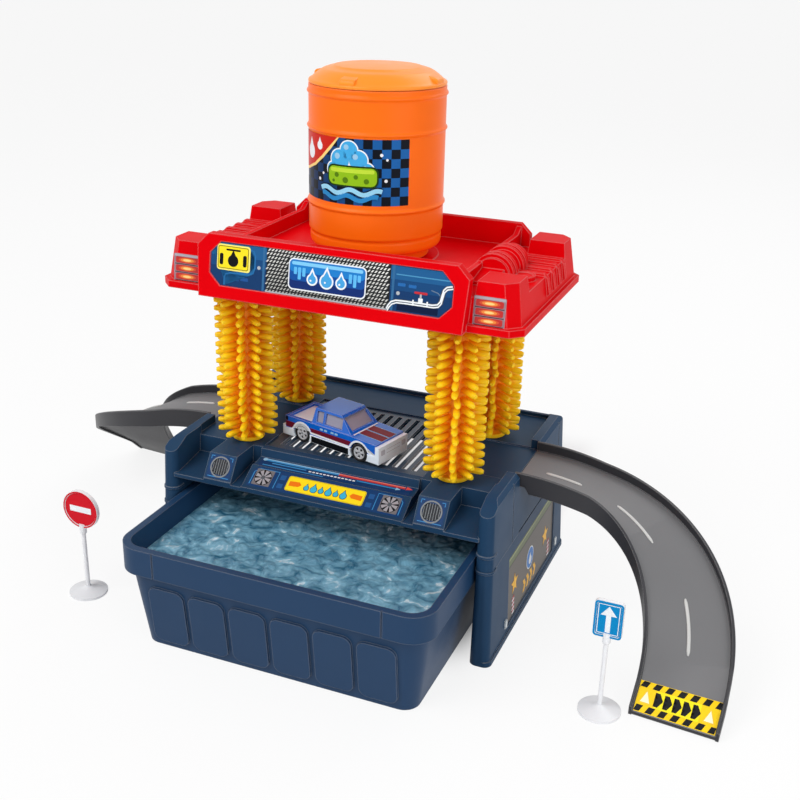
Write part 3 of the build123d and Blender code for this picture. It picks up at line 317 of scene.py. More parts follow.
def remade(node, name, slot, *materials, turn=32):
    """Same moulding as a CAD node, with its corners joined and its curves smooth."""
    mesh = frame["nodes"][node].data.copy()
    mesh.materials.clear()
    joined = bmesh.new()
    joined.from_mesh(mesh)
    bmesh.ops.remove_doubles(joined, verts=joined.verts, dist=0.000002)
    joined.to_mesh(mesh)
    joined.free()
    piece = put(smoothed(mesh, turn), name, frame["nodes"][node]["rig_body"], slot, *materials)
    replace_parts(piece, node)
    return piece


navy = moulded("navy_moulding", paint(32, 62, 92), roughness=0.46, lift=0.2, radius=0.0007, gloss=0.1)
remade("side_stand_right", "right_stand_moulding", "navy_plastic", navy)
remade("side_stand_left", "left_stand_moulding", "navy_plastic", navy)
remade("deck_housing", "deck_housing_moulding", "navy_plastic", navy)
# The grate's bars get a strong edge lift: painted highlight lines along the bars.
grate_navy = moulded("grate_moulding", paint(44, 62, 82), roughness=0.3, lift=0.5, radius=0.0006)
remade("deck_grate", "deck_grate_moulding", "navy_plastic", grate_navy)

# Printed vinyl on the dash: a coloured bar on the ledge, and a panel with two fans
# and a yellow plate on the slope below it. Each is cut from one sheet and stuck down.


def disc(x, y, radius, sides=28):
    """Outline of a round spot."""
    steps = [2 * math.pi * step / sides for step in range(sides)]
    return [(x + radius * math.cos(turn), y + radius * math.sin(turn)) for turn in steps]


def plate(x0, y0, x1, y1, corner=0.0, sides=5):
    """Outline of a rectangle between two corners, with rounded corners."""
    if not corner:
        return [(x0, y0), (x1, y0), (x1, y1), (x0, y1)]
    points = []
    for cx, cy, start in (
        (x1 - corner, y0 + corner, -90),
        (x1 - corner, y1 - corner, 0),
        (x0 + corner, y1 - corner, 90),
        (x0 + corner, y0 + corner, 180),
    ):
        for step in range(sides + 1):
            turn = math.radians(start + 90 * step / sides)
            points.append((cx + corner * math.cos(turn), cy + corner * math.sin(turn)))
    return points


def strip(points, width):
    """Outline of a line of one width through some points."""
    left, right = [], []
    for index, point in enumerate(points):
        before = Vector(points[max(index - 1, 0)])
        after = Vector(points[min(index + 1, len(points) - 1)])
        along = (after - before).normalized()
        side = Vector((-along.y, along.x)) * width / 2
        left.append(tuple(Vector(point) + side))
        right.append(tuple(Vector(point) - side))
    return right + left[::-1]


def star(x, y, radius, points=5, waist=0.45):
    """Outline of a star with one point up."""
    outline = []
    for step in range(2 * points):
        reach = radius if step % 2 == 0 else radius * waist
        turn = math.pi / 2 + math.pi * step / points
        outline.append((x + reach * math.cos(turn), y + reach * math.sin(turn)))
    return outline


def drop(x, y, radius, tall=1.9):
    """Outline of a water drop with its tip up."""
    outline = []
    for step in range(25):
        turn = math.radians(-240 + 300 * step / 24)
        outline.append((x + radius * math.cos(turn), y + radius * math.sin(turn)))
    return outline + [(x, y + radius * tall)]


def flat_place(centre, along, up):
    """Function that puts sheet points (right, up, out) on a flat face."""
    origin, right, top = Vector(centre), Vector(along).normalized(), Vector(up).normalized()
    out = right.cross(top)

    def place(u, v, h):
        return at(*(origin + right * u + top * v + out * h))

    return place


def mirrored(points, side):
    """Outline as it is, or turned over from left to right when the side is -1."""
    return [(side * x, y) for x, y in points]


def finished(made, name, turn=None):
    """Mesh of a finished bmesh, shaded smooth below a turn in degrees if one is given."""
    mesh = bpy.data.meshes.new(name)
    made.to_mesh(mesh)
    made.free()
    return smoothed(mesh, turn) if turn else mesh


layer_rise, layer_sink, film = 0.05, 0.02, 0.06


def printed_sheet(name, body, slot, material, shapes, place, lift=0.0, step=None):
    """One cut sheet: every (outline, colour, layer) is a thin closed slab of ink and film.

    A step cuts the outlines along their length, so that the sheet follows a curved face.
    """
    made = bmesh.new()
    ink = made.loops.layers.float_color.new("ink")
    for outline, colour, layer in shapes:
        flat = bmesh.new()
        area = sum(a[0] * b[1] - b[0] * a[1] for a, b in zip(outline, outline[1:] + outline[:1]))
        points = outline if area > 0 else outline[::-1]
        flat.faces.new([flat.verts.new((u, v, 0)) for u, v in points])
        if step or len(points) > 4:
            bmesh.ops.triangulate(flat, faces=flat.faces[:])
        if step:
            cut = (math.floor(min(u for u, v in points) / step) + 1) * step
            while cut < max(u for u, v in points) - 0.01:
                parts = flat.verts[:] + flat.edges[:] + flat.faces[:]
                bmesh.ops.bisect_plane(flat, geom=parts, plane_co=(cut, 0, 0), plane_no=(1, 0, 0), dist=1e-3)
                cut += step
        low = lift + (layer * layer_rise - layer_sink if layer else 0.0)
        high = lift + (layer + 1) * layer_rise + film
        bottom = {vert: made.verts.new(place(vert.co.x, vert.co.y, low)) for vert in flat.verts}
        top = {vert: made.verts.new(place(vert.co.x, vert.co.y, high)) for vert in flat.verts}
        faces = []
        for face in flat.faces:
            faces.append(made.faces.new([top[vert] for vert in face.verts]))
            faces.append(made.faces.new([bottom[vert] for vert in reversed(face.verts)]))
        for edge in flat.edges:
            if len(edge.link_faces) == 1:
                first, second = edge.link_loops[0].vert, edge.link_loops[0].link_loop_next.vert
                faces.append(made.faces.new((bottom[first], bottom[second], top[second], top[first])))
        for face in faces:
            for loop in face.loops:
                loop[ink] = (*colour, 1)
        flat.free()
    return put(finished(made, name), name, body, slot, material)


def ink_colour(tree):
    """Colour of the ink that a printed sheet carries at its corners."""
    return add_node(tree, "ShaderNodeAttribute", attribute_name="ink").outputs["Color"]


vinyl, vinyl_tree, vinyl_shader = new_material("printed_vinyl")
vinyl_grain = noise(vinyl_tree, 2200)
vinyl_inputs = {
    "Base Color": scaled(vinyl_tree, ink_colour(vinyl_tree), ranged(vinyl_tree, vinyl_grain, 0.96, 1.04)),
    "Roughness": ranged(vinyl_tree, vinyl_grain, 0.26, 0.38),
    "IOR": 1.48,
    "Specular IOR Level": 0.1,
}
wire(vinyl_tree, vinyl_shader, vinyl_inputs)

navy_ink = paint(22, 58, 104)
deep_ink = paint(10, 28, 62)
sky_ink = paint(62, 142, 200)
pale_ink = paint(150, 196, 226)
white_ink = paint(236, 240, 244)
yellow_ink = paint(250, 222, 30)
orange_ink = paint(236, 120, 20)
black_ink = paint(14, 16, 20)
silver_ink = paint(178, 184, 190)

ledge_place = flat_place((0, -54.45, 85.3), (1, 0, 0), (0, 9.1, 1.4))
bar_shapes = [
    (plate(-47.6, -4.0, 47.6, 4.2, 0.6), navy_ink, 0),
    (plate(-45.0, 1.4, 2.0, 3.4), sky_ink, 1),
    (plate(-45.0, 2.6, 2.0, 3.4), pale_ink, 2),
    (plate(2.0, 1.2, 43.0, 3.2), paint(196, 62, 62), 1),
    (plate(2.0, 2.4, 43.0, 3.2), paint(232, 128, 112), 2),
    (disc(-45.6, 2.5, 1.4, 14), pale_ink, 3),
    ([(43.6, 0.8), (47.4, 2.2), (43.6, 3.8)], paint(236, 84, 72), 1),
    (plate(-40.0, -0.4, -18.0, 0.5), sky_ink, 1),
    (plate(14.0, -0.4, 40.0, 0.5), sky_ink, 1),
    (plate(-45.0, -3.0, -6.0, -2.3), sky_ink, 1),
    ([(38.0, -1.2), (41.0, 0.0), (38.0, 1.2)], pale_ink, 2),
]
bar_shapes += [(plate(x, -1.1, x + 1.6, -0.1), white_ink, 1) for x in np.arange(-16, 12, 2.3)]
printed_sheet("dash_bar_print", "base", "navy_plastic", vinyl, bar_shapes, ledge_place)

slope_place = flat_place((0, -66.4, 81.5), (1, 0, 0), (0, 13.2, 7.8))
half_u, half_v, clip = 47.6, 6.9, 3.0
panel_edge = [
    (-half_u, -half_v), (half_u, -half_v), (half_u, half_v - clip),
    (half_u - clip, half_v), (-half_u + clip, half_v), (-half_u, half_v - clip),
]
dash_shapes = [(panel_edge, navy_ink, 0)]
button_ink = paint(34, 84, 140)
for side in (-1, 1):
    frame_line = [(31.0, -5.6), (31.0, 5.6), (43.6, 5.6), (46.3, 3.0), (46.3, -5.6)]
    dash_shapes.append((strip(mirrored(frame_line, side), 0.45), sky_ink, 1))
    middle = side * 39.5
    dash_shapes.append((plate(middle - 5.6, -5.5, middle + 5.6, 5.5, 0.5), paint(112, 110, 114), 2))
    dash_shapes.append((disc(middle, 0, 5.3), paint(22, 24, 28), 3))
    for blade in range(8):
        turn = math.pi * blade / 4 + 0.2
        corners = [(1.0, turn), (5.1, turn + 0.08), (4.9, turn + 0.56), (1.0, turn + 0.6)]
        points = [(middle + reach * math.cos(a), reach * math.sin(a)) for reach, a in corners]
        dash_shapes.append((points, paint(158, 156, 162), 4))
    dash_shapes.append((disc(middle, 0, 1.3, 16), paint(84, 88, 94), 5))
    middle = side * 27.6
    for low, high in ((1.0, 4.2), (-4.6, -1.6)):
        dash_shapes.append((plate(middle - 1.7, low, middle + 1.7, high, 0.3), button_ink, 1))
dash_shapes += [
    (plate(-24.2, -5.0, 24.2, 5.0, 1.4), paint(214, 190, 30), 2),
    (plate(-23.6, -4.4, 23.6, 4.4, 1.1), yellow_ink, 3),
]
arrow = [(22.6, -1.8), (22.6, 1.4), (16.6, 1.8), (15.0, 0), (16.6, -1.4)]
dash_shapes += [(mirrored(arrow, side), orange_ink, 4) for side in (-1, 1)]
for index in range(6):
    middle = -11.5 + 4.6 * index
    size = 1.9 if index % 2 else 1.4
    dash_shapes.append((drop(middle, -1.1, size + 0.35, 1.9), deep_ink, 4))
    dash_shapes.append((drop(middle, -1.1, size, 1.9), paint(60, 178, 214), 5))
printed_sheet("dash_panel_print", "base", "navy_plastic", vinyl, dash_shapes, slope_place)

# Gauge faces: a silvery fluted dial pressed into each pod, on a navy print with a
# light outline round it.


def ramped(tree, value, *stops):
    """Colour that runs through (position, colour) stops with a value."""
    ramp = add_node(tree, "ShaderNodeValToRGB", {"Fac": value})
    elements = ramp.color_ramp.elements
    for index, (position, colour) in enumerate(stops):
        element = elements[index] if index < 2 else elements.new(position)
        element.position = position
        element.color = (*colour, 1)
    return ramp.outputs["Color"]


def band(inner, outer, colour):
    """Shapes that fill the room between two outlines with as many points."""
    shapes = []
    for index in range(len(outer)):
        after = (index + 1) % len(outer)
        shapes.append(([inner[index], outer[index], outer[after], inner[after]], colour, 0))
    return shapes


def ring_faces(made, low, high, material=0):
    """Faces between two closed rings of points."""
    for index in range(len(low)):
        after = (index + 1) % len(low)
        made.faces.new((low[index], low[after], high[after], high[index])).material_index = material


dial_metal, dial_tree, dial_shader = new_material("dial_silver")
dial_tone = ramped(dial_tree, noise(dial_tree, 1400), (0.0, (0.10, 0.11, 0.12)), (1.0, (0.20, 0.21, 0.22)))
wire(dial_tree, dial_shader, {"Base Color": dial_tone, "Metallic": 0.4, "Roughness": 0.5})
dial_floor = moulded("dial_floor_dark", paint(34, 38, 46), roughness=0.5, lift=0.1, gloss=0.2)
pod_radius, pod_edge = 6.4, plate(-7.7, -6.9, 7.7, 6.9, 1.0, 6)
pod_turns = [math.atan2(v, u) for u, v in pod_edge]
pod_hole = [(pod_radius * math.cos(turn), pod_radius * math.sin(turn)) for turn in pod_turns]
pod_lines = (
    [(-6.9, 4.0), (-6.9, 6.0), (-5.0, 6.0)],
    [(6.9, 4.0), (6.9, 6.0), (5.0, 6.0)],
    [(-6.9, -6.0), (6.9, -6.0)],
)
dial_sides, flutes, flute_half = 48, 7, 0.34
for side, label in ((-1, "left"), (1, "right")):
    pod_place = flat_place((side * 65.5, -70.25, 84.6), (1, 0, 0), (0, 8.5, 12.8))
    pod_shapes = band(pod_hole, pod_edge, navy_ink) + [(strip(line, 0.4), sky_ink, 1) for line in pod_lines]
    printed_sheet(f"gauge_print_{label}", "base", "navy_plastic", vinyl, pod_shapes, pod_place)
    dial = bmesh.new()
    rings = []
    for radius, height in ((6.25, -0.75), (6.25, 0.35), (5.4, 0.35), (5.3, -0.45)):
        rings.append([dial.verts.new(pod_place(*point, height)) for point in disc(0, 0, radius, dial_sides)])
    rim, lip, well, floor = rings
    dial.faces.new(rim[::-1]).material_index = 1
    dial.faces.new(floor)
    ring_faces(dial, rim, lip, 1)
    ring_faces(dial, lip, well, 1)
    ring_faces(dial, well, floor)
    for flute in range(flutes):
        u = 5.3 * (2 * (flute + 0.5) / flutes - 1)
        half = math.sqrt(5.2**2 - u**2)
        foot = plate(u - flute_half, -half, u + flute_half, half)
        crest = plate(u - flute_half / 2, -half + 0.3, u + flute_half / 2, half - 0.3)
        under = [dial.verts.new(pod_place(*point, -0.47)) for point in foot]
        over = [dial.verts.new(pod_place(*point, 0.2)) for point in crest]
        dial.faces.new(over).material_index = 1
        dial.faces.new(under[::-1])
        ring_faces(dial, under, over, 1)
    name = f"gauge_dial_{label}"
    put(finished(dial, name, 35), name, "base", "steel", dial_floor, dial_metal)

# Side prints: a charcoal sheet in the recess of each stand, with an olive band along
# its top, a round blue badge, two stars, two striped posts and a row of chevrons.
stand_lean = 3.0 / 91.0
charcoal_ink = paint(92, 84, 78)
olive_ink = paint(98, 108, 70)
gold_ink = paint(255, 190, 0)
for side, label in ((-1, "left"), (1, "right")):
    face_x = side * (104.7 - 28 * stand_lean - 0.8)
    side_place = flat_place((face_x, 5, 28), (0, side, 0), (-side * stand_lean, 0, 1))
    side_shapes = [
        (plate(-47.0, -21.2, 47.0, 21.2, 1.2), charcoal_ink, 0),
        (plate(-46.2, 14.4, 46.2, 20.4, 0.6), olive_ink, 1),
        (plate(-46.2, 18.9, 46.2, 20.0), paint(150, 158, 112), 2),
        (plate(-46.2, 14.4, 46.2, 15.0), paint(40, 44, 36), 2),
        (disc(-2.7, -0.6, 7.2), white_ink, 1),
        (disc(-2.7, -0.6, 6.5), paint(14, 116, 200), 2),
        (drop(-2.7, -2.2, 2.7), white_ink, 3),
    ]
    for u, v in ((-34.0, -1.0), (30.0, -2.0)):
        side_shapes.append((star(u, v, 7.2), paint(120, 78, 8), 1))
        side_shapes.append((star(u, v, 6.4), gold_ink, 2))
    for x in (-36.0, 38.0):
        side_shapes.append((plate(x - 2.0, -20.0, x + 2.0, -9.0, 0.5), white_ink, 1))
        for stripe in range(4):
            low = -19.0 + 2.8 * stripe
            slant = [(x - 2.0, low), (x + 2.0, low + 0.6), (x + 2.0, low + 2.0), (x - 2.0, low + 1.4)]
            side_shapes.append((slant, paint(176, 30, 34), 2))
    chevron = [(0.0, -17.6), (3.4, -17.6), (6.0, -13.6), (3.4, -9.6), (0.0, -9.6), (2.6, -13.6)]
    for index in range(4):
        x = -16.5 + 7.0 * index
        side_shapes.append(([(x + u, v) for u, v in chevron], gold_ink, 1))
    printed_sheet(f"side_print_{label}", "base", "navy_plastic", vinyl, side_shapes, side_place)

# Studs and screws: clear push-in studs at the foot of the side prints, and plated
# pan-head screws that hold the stands and the shower plate.


def recoloured(node, look):
    """Gives a CAD node's own mesh another material."""
    mesh = frame["nodes"][node].data
    mesh.materials.clear()
    mesh.materials.append(look)


recoloured("side_studs", moulded("stud_clear", paint(205, 212, 216), roughness=0.12, grain=0.03))
screw_steel, screw_tree, screw_shader = new_material("screw_steel")
screw_rough = ranged(screw_tree, noise(screw_tree, 1200), 0.22, 0.42)
wire(screw_tree, screw_shader, {"Metallic": 1, "Base Color": (0.55, 0.56, 0.57, 1), "Roughness": screw_rough})
for node in ("base_screws", "canopy_screws"):
    remade(node, f"{node}_plated", "steel", screw_steel)

# Water tub: a drafted navy moulding with a hanging skirt round its rim and raised
# panels on its front. It is pulled out, and full of water.
tub_navy = moulded("tub_moulding", paint(26, 58, 92), roughness=0.46, lift=0.14, radius=0.0008, gloss=0.22)
remade("wash_tub", "wash_tub_moulding", "navy_plastic", tub_navy)
water_level, water_foot = 51.0, 40.0
tub_half, tub_front, tub_back = 92.0, -141.0, 3.0
tub_wall, skirt_gap, tub_lean, tub_tall = 2.2, 0.15, 7.8, 63.7
tub_draft = tub_lean / tub_tall
inset = tub_wall + tub_wall + skirt_gap + tub_lean - tub_draft * water_level
half_x = tub_half - inset
half_y = (tub_back - inset - (tub_front + inset)) / 2
middle_y = (tub_front + inset + (tub_back - inset)) / 2
corner = 9.0


def squared(u, v):
    """Point of the rounded water surface for a share across and a share deep, -1 to 1."""
    x, y = u * half_x, v * half_y
    reach_x, reach_y = half_x - corner, half_y - corner
    if abs(x) > reach_x and abs(y) > reach_y:
        dx, dy = abs(x) - reach_x, abs(y) - reach_y
        length = max(dx, dy)
        away = math.hypot(dx, dy)
        x = math.copysign(reach_x + dx * length / away, x)
        y = math.copysign(reach_y + dy * length / away, y)
    return x, y + middle_y


def ripple(x, y):
    """Height of the water above its level, in millimetres."""
    height = 0.0
    for index in range(18):
        turn = 2.399 * index
        wave = 0.2 + 0.1 * index
        swing = 0.3 / (1 + 0.3 * index)
        height += swing * math.sin(wave * (x * math.cos(turn) + y * math.sin(turn)) + 1.7 * index)
    return height


water = bmesh.new()
columns, rows, calm_cells = 190, 140, 6
grid = []
for row in range(rows + 1):
    line = []
    for column in range(columns + 1):
        x, y = squared(2 * column / columns - 1, 2 * row / rows - 1)
        edge = min(column, columns - column, row, rows - row)
        line.append(water.verts.new(at(x, y, water_level + ripple(x, y) * min(edge / calm_cells, 1))))
    grid.append(line)
for near, far in zip(grid, grid[1:]):
    for column in range(columns):
        water.faces.new((near[column], near[column + 1], far[column + 1], far[column]))
border = grid[0][:-1] + [line[-1] for line in grid[:-1]] + grid[-1][:0:-1] + [line[0] for line in grid[:0:-1]]
shrink = tub_draft * (water_level - water_foot)
under = []
for vert in border:
    x = (vert.co.x - base_middle.x) * 1000
    y = (vert.co.y - base_middle.y) * 1000 - middle_y
    scale_x, scale_y = 1 - shrink / half_x, 1 - shrink / half_y
    under.append(water.verts.new(at(x * scale_x, y * scale_y + middle_y, water_foot)))
ring_faces(water, under, border)
water.faces.new(under[::-1])
water_look, water_tree, water_shader = new_material("wash_water")
# The water's colour runs in noise patches from dark teal to light blue and near-white: painted ripple
# reflections, with foam in the whitest patches.
water_reflection_stops = ((0.34, paint(44, 100, 130)), (0.60, paint(128, 180, 204)), (0.68, paint(214, 232, 240)))
water_reflection_and_foam = ramped(water_tree, noise(water_tree, 92, 7, Roughness=0.62, Distortion=0.8), *water_reflection_stops)
water_bump_inputs = {"Strength": 0.5, "Distance": 0.0006, "Height": noise(water_tree, 340, 3)}
water_bump = add_node(water_tree, "ShaderNodeBump", water_bump_inputs).outputs[0]
wire(water_tree, water_shader, {"Base Color": water_reflection_and_foam, "Normal": water_bump})
wire(water_tree, water_shader, {"Roughness": 0.08, "IOR": 1.33})
water_mesh = finished(water, "tub_water", 60)
put(water_mesh, "tub_water", "tub", "car_glass", water_look)

# Posts and bristle rollers: four fixed yellow posts carry the roof, and a soft yellow
# roller turns on each of them, with ten rows of thick blunt bristles between two discs.


def lathe(profile, centre, sides=96, closed=True):
    """Turned solid about an upright axis from (radius, height) points in order."""
    made = bmesh.new()
    rings = []
    for radius, height in profile:
        if radius <= 0:
            rings.append([made.verts.new(at(centre[0], centre[1], height))] * sides)
            continue
        ring = []
        for step in range(sides):
            turn = 2 * math.pi * step / sides
            x, y = centre[0] + radius * math.cos(turn), centre[1] + radius * math.sin(turn)
            ring.append(made.verts.new(at(x, y, height)))
        rings.append(ring)
    pairs = list(zip(rings, rings[1:]))
    if closed:
        pairs.append((rings[-1], rings[0]))
    for low, high in pairs:
        if low[0] is low[1] and high[0] is high[1]:
            continue
        for step in range(sides):
            after = (step + 1) % sides
            corners = [low[step], low[after], high[after], high[step]]
            corners = [v for index, v in enumerate(corners) if v is not corners[index - 1]]
            if len(corners) > 2:
                made.faces.new(corners)
    bmesh.ops.recalc_face_normals(made, faces=made.faces)
    return made


def lathe_mesh(name, profile, centre, sides=96, closed=True, turn=35):
    """Mesh of a turned solid, shaded smooth."""
    return finished(lathe(profile, centre, sides, closed), name, turn)


def bristle_tree():
    """Rows of thick bristles with blunt round tips, set square to an upright hub."""
    tree = bpy.data.node_groups.new("bristle_rows", "GeometryNodeTree")
    whole, number = "NodeSocketInt", "NodeSocketFloat"
    for name, kind, value in (
        ("Rows", whole, 10),
        ("Levels", whole, 15),
        ("Foot", number, 0.0),
        ("Pitch", number, 0.005),
        ("Root", number, 0.005),
        ("Reach", number, 0.0179),
        ("Thickness", number, 0.002),
        ("Seed", whole, 1),
    ):
        tree.interface.new_socket(name, in_out="INPUT", socket_type=kind).default_value = value
    tree.interface.new_socket("Material", in_out="INPUT", socket_type="NodeSocketMaterial")
    tree.interface.new_socket("Geometry", in_out="OUTPUT", socket_type="NodeSocketGeometry")
    given = add_node(tree, "NodeGroupInput").outputs
    rows, seed = given["Rows"], given["Seed"]

    def part(kind, output=0, **inputs):
        named = {name.replace("_", " "): value for name, value in inputs.items()}
        return add_node(tree, kind, named).outputs[output]

    def triple(x, y, z):
        return part("ShaderNodeCombineXYZ", X=x, Y=y, Z=z)

    def sway(seed, reach):
        inputs = {2: -reach, 3: reach, "Seed": seed}
        return add_node(tree, "FunctionNodeRandomValue", inputs, data_type="FLOAT").outputs[1]

    root, tip = triple(given["Root"], 0, 0), triple(given["Reach"], 0, 0)
    line = part("GeometryNodeCurvePrimitiveLine", Start=root, End=tip)
    sampled = part("GeometryNodeResampleCurve", Count=9, Curve=line)
    taper = add_node(tree, "ShaderNodeFloatCurve", {"Value": part("GeometryNodeSplineParameter", "Factor")})
    curve = taper.mapping.curves[0]
    curve.points[0].location = (0.0, 1.0)
    curve.points[1].location = (1.0, 0.62)
    for spot in ((0.5, 1.0), (0.8, 1.0), (0.92, 0.92)):
        curve.points.new(*spot)
    taper.mapping.update()
    ring = part("GeometryNodeCurvePrimitiveCircle", "Curve", Resolution=8, Radius=given["Thickness"])
    bristle = part(
        "GeometryNodeCurveToMesh", Curve=sampled, Profile_Curve=ring, Fill_Caps=True, Scale=taper.outputs[0]
    )
    count = maths(tree, "MULTIPLY", rows, given["Levels"])
    index = part("GeometryNodeInputIndex")
    level = maths(tree, "FLOOR", maths(tree, "DIVIDE", index, rows))
    height = maths(tree, "ADD", given["Foot"], maths(tree, "MULTIPLY", level, given["Pitch"]))
    spots = part("GeometryNodePoints", Count=count, Position=triple(0, 0, height))
    row, row_turn = maths(tree, "MODULO", index, rows), maths(tree, "DIVIDE", 2 * math.pi, rows)
    swing = sway(maths(tree, "ADD", seed, 7), 0.06)
    around = maths(tree, "ADD", maths(tree, "MULTIPLY", row, row_turn), swing)
    turns = triple(0, sway(seed, 0.03), around)
    placed = part("GeometryNodeInstanceOnPoints", Points=spots, Instance=bristle, Rotation=turns)
    solid = part("GeometryNodeRealizeInstances", Geometry=placed)
    dressed = part("GeometryNodeSetMaterial", Geometry=solid, Material=given["Material"])
    add_node(tree, "NodeGroupOutput", {0: dressed})
    return tree


def grown(tree, name, **values):
    """Plain mesh of a node tree with its inputs set by name."""
    host = bpy.data.objects.new(name, bpy.data.meshes.new(name))
    scene.collection.objects.link(host)
    modifier = host.modifiers.new("form", "NODES")
    modifier.node_group = tree
    for item in tree.interface.items_tree:
        key = item.name.replace(" ", "_").lower()
        if item.in_out == "INPUT" and key in values:
            modifier[item.identifier] = values[key]
    bpy.context.view_layer.update()
    built = host.evaluated_get(bpy.context.evaluated_depsgraph_get())
    mesh = bpy.data.meshes.new_from_object(built)
    mesh.name = name
    bpy.data.objects.remove(host)
    return mesh


# Bristle colour runs from orange near the hub to bright yellow at the tips: painted shade deep in the brush.
bristle_look, yellow_tree, yellow_shader = new_material("bristle_yellow")
yellow_grain = noise(yellow_tree, 240, 3)
bristle_hub_shade = add_node(yellow_tree, "ShaderNodeAttribute", attribute_name="depth").outputs["Fac"]
bristle_shade_tone = ramped(yellow_tree, bristle_hub_shade, (0.15, paint(250, 150, 0)), (0.7, paint(255, 210, 20)))
yellow_inputs = {
    "Base Color": scaled(yellow_tree, bristle_shade_tone, ranged(yellow_tree, yellow_grain, 0.93, 1.07)),
    "Roughness": ranged(yellow_tree, yellow_grain, 0.36, 0.52),
    "Subsurface Weight": 0.12,
    "Subsurface Radius": (0.004, 0.0022, 0.0006),
    "Subsurface Scale": 1.0,
    "Specular IOR Level": 0.3,
}
wire(yellow_tree, yellow_shader, yellow_inputs)


def with_hub_shade(mesh, centre, root, reach):
    """Marks how far out from the roller's axis each point is, 0 at the hub and 1 at the tips, for the painted
    shade toward the hub.
    """
    spread = mesh.attributes.new("depth", "FLOAT", "POINT")
    middle = at(centre[0], centre[1], 0)
    shares = [
        (math.hypot(vert.co.x - middle.x, vert.co.y - middle.y) * 1000 - root) / (reach - root)
        for vert in mesh.vertices
    ]
    spread.data.foreach_set("value", shares)
    return mesh


post_yellow = moulded("post_yellow", paint(240, 170, 10), roughness=0.35)
bristle_rows = bristle_tree()
roller_low, roller_high, disc_edge, bore, core_radius = 91.3, 187.7, 9.6, 4.56, 6.2
shaded_root, shaded_tip, shaded_core = 5.0, 17.9, 13.0
levels = 17
first, last = roller_low + 6.2, roller_high - 4.8
core = [
    (bore, roller_low), (disc_edge - 0.5, roller_low), (disc_edge, roller_low + 0.5),
    (disc_edge, roller_low + 1.7), (disc_edge - 0.7, roller_low + 2.4), (6.8, roller_low + 2.6),
    (core_radius, roller_low + 3.2), (core_radius, roller_high - 3.2), (6.8, roller_high - 2.6),
    (disc_edge - 0.5, roller_high - 2.4), (disc_edge, roller_high - 1.9), (disc_edge, roller_high - 0.5),
    (disc_edge - 0.5, roller_high), (bore, roller_high),
]
brush_places = {
    "front_left": (-65.4, -36.8),
    "front_right": (65.4, -36.8),
    "rear_left": (-65.4, 29.8),
    "rear_right": (65.4, 29.8),
}
for index, (name, centre) in enumerate(brush_places.items()):
    recoloured(f"post_{name}", post_yellow)
    mesh = grown(
        bristle_rows, f"bristles_{name}", rows=10, levels=levels, foot=first / 1000,
        pitch=(last - first) / (levels - 1) / 1000, root=0.0052, reach=0.0176,
        thickness=0.0019, seed=index + 3, material=bristle_look,
    )
    mesh.transform(Matrix.Translation(at(*centre, 0)))
    mesh = smoothed(with_hub_shade(mesh, centre, shaded_root, shaded_tip), 50)
    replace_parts(put(mesh, f"bristles_{name}", f"{name}_brush", "yellow_bristle"), f"brush_{name}")
    mesh = with_hub_shade(lathe_mesh(f"roller_{name}", core, centre, 48), centre, shaded_root, shaded_core)
    piece = put(mesh, f"roller_{name}", f"{name}_brush", "yellow_bristle", bristle_look)
    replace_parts(piece, f"brush_{name}")

# Roof: one glossy red moulding with the fascia, lamp blocks, tray, drum and ribs. The
# shower plate is screwed in from below, and a white seal lies round the outlet.
roof_red = moulded(
    "roof_red", paint(222, 2, 12), roughness=0.34, lift=0.2, radius=0.0009, grain=0.04, gloss=0.02
)
remade("canopy_shell", "roof_moulding", "red_plastic", roof_red)
remade("ceiling_panel", "shower_plate", "red_plastic", roof_red)
seal_look = moulded("seal_rubber", paint(226, 226, 224), roughness=0.55, lift=0.05)
remade("outlet_seal", "outlet_seal_ring", "seal_white", seal_look)

# Roof prints: the fascia sheet with its navy ends, woven mesh and blue badge, and a
# three-bar lamp print on each front block.
fascia_rise = (204.9 - 186.0) / 34.5
fascia_place = flat_place((0, -67.0 + 5.2 * fascia_rise + 0.6, 204.9), (1, 0, 0), (0, 5.2, 34.5))
half_u, half_v, clip = 70.2, 11.9, 6.3
fascia_edge = [
    (-half_u, -half_v + clip), (-half_u + clip, -half_v), (half_u - clip, -half_v), (half_u, -half_v + clip),
    (half_u, half_v - clip), (half_u - clip, half_v), (-half_u + clip, half_v), (-half_u, half_v - clip),
]
mesh_half = 36.0
fascia_shapes = [(fascia_edge, navy_ink, 0)]
for side in (-1, 1):
    for low, colour in ((-1.0, paint(26, 72, 122)), (4.6, paint(34, 92, 144))):
        end_panel = [
            (mesh_half, low), (half_u - 0.4, low), (half_u - 0.4, half_v - clip),
            (half_u - clip, half_v - 0.4), (mesh_half, half_v - 0.4),
        ]
        fascia_shapes.append((mirrored(end_panel, side), colour, 1 if low < 0 else 2))
fascia_shapes.append((plate(-mesh_half, -half_v, mesh_half, half_v), paint(34, 36, 38), 1))
pitch = 2.0
for row in range(12):
    for column in range(36):
        u = -35.4 + pitch * column + (pitch / 2 if row % 2 else 0)
        v = -11.0 + pitch * row
        if u < 35.0 and not (abs(u) < 22.8 and abs(v) < 8.6):
            glow = 0.5 + 0.022 * v + 0.012 * (-36 - u if u < 0 else u - 24)
            tone = 158 + 97 * max(0.0, min(1.0, glow))
            stroke = [(u - 1.0, v - 0.62), (u - 0.05, v - 0.62), (u + 1.0, v + 0.62), (u + 0.05, v + 0.62)]
            fascia_shapes.append((stroke, paint(tone, tone, tone - 4), 2))
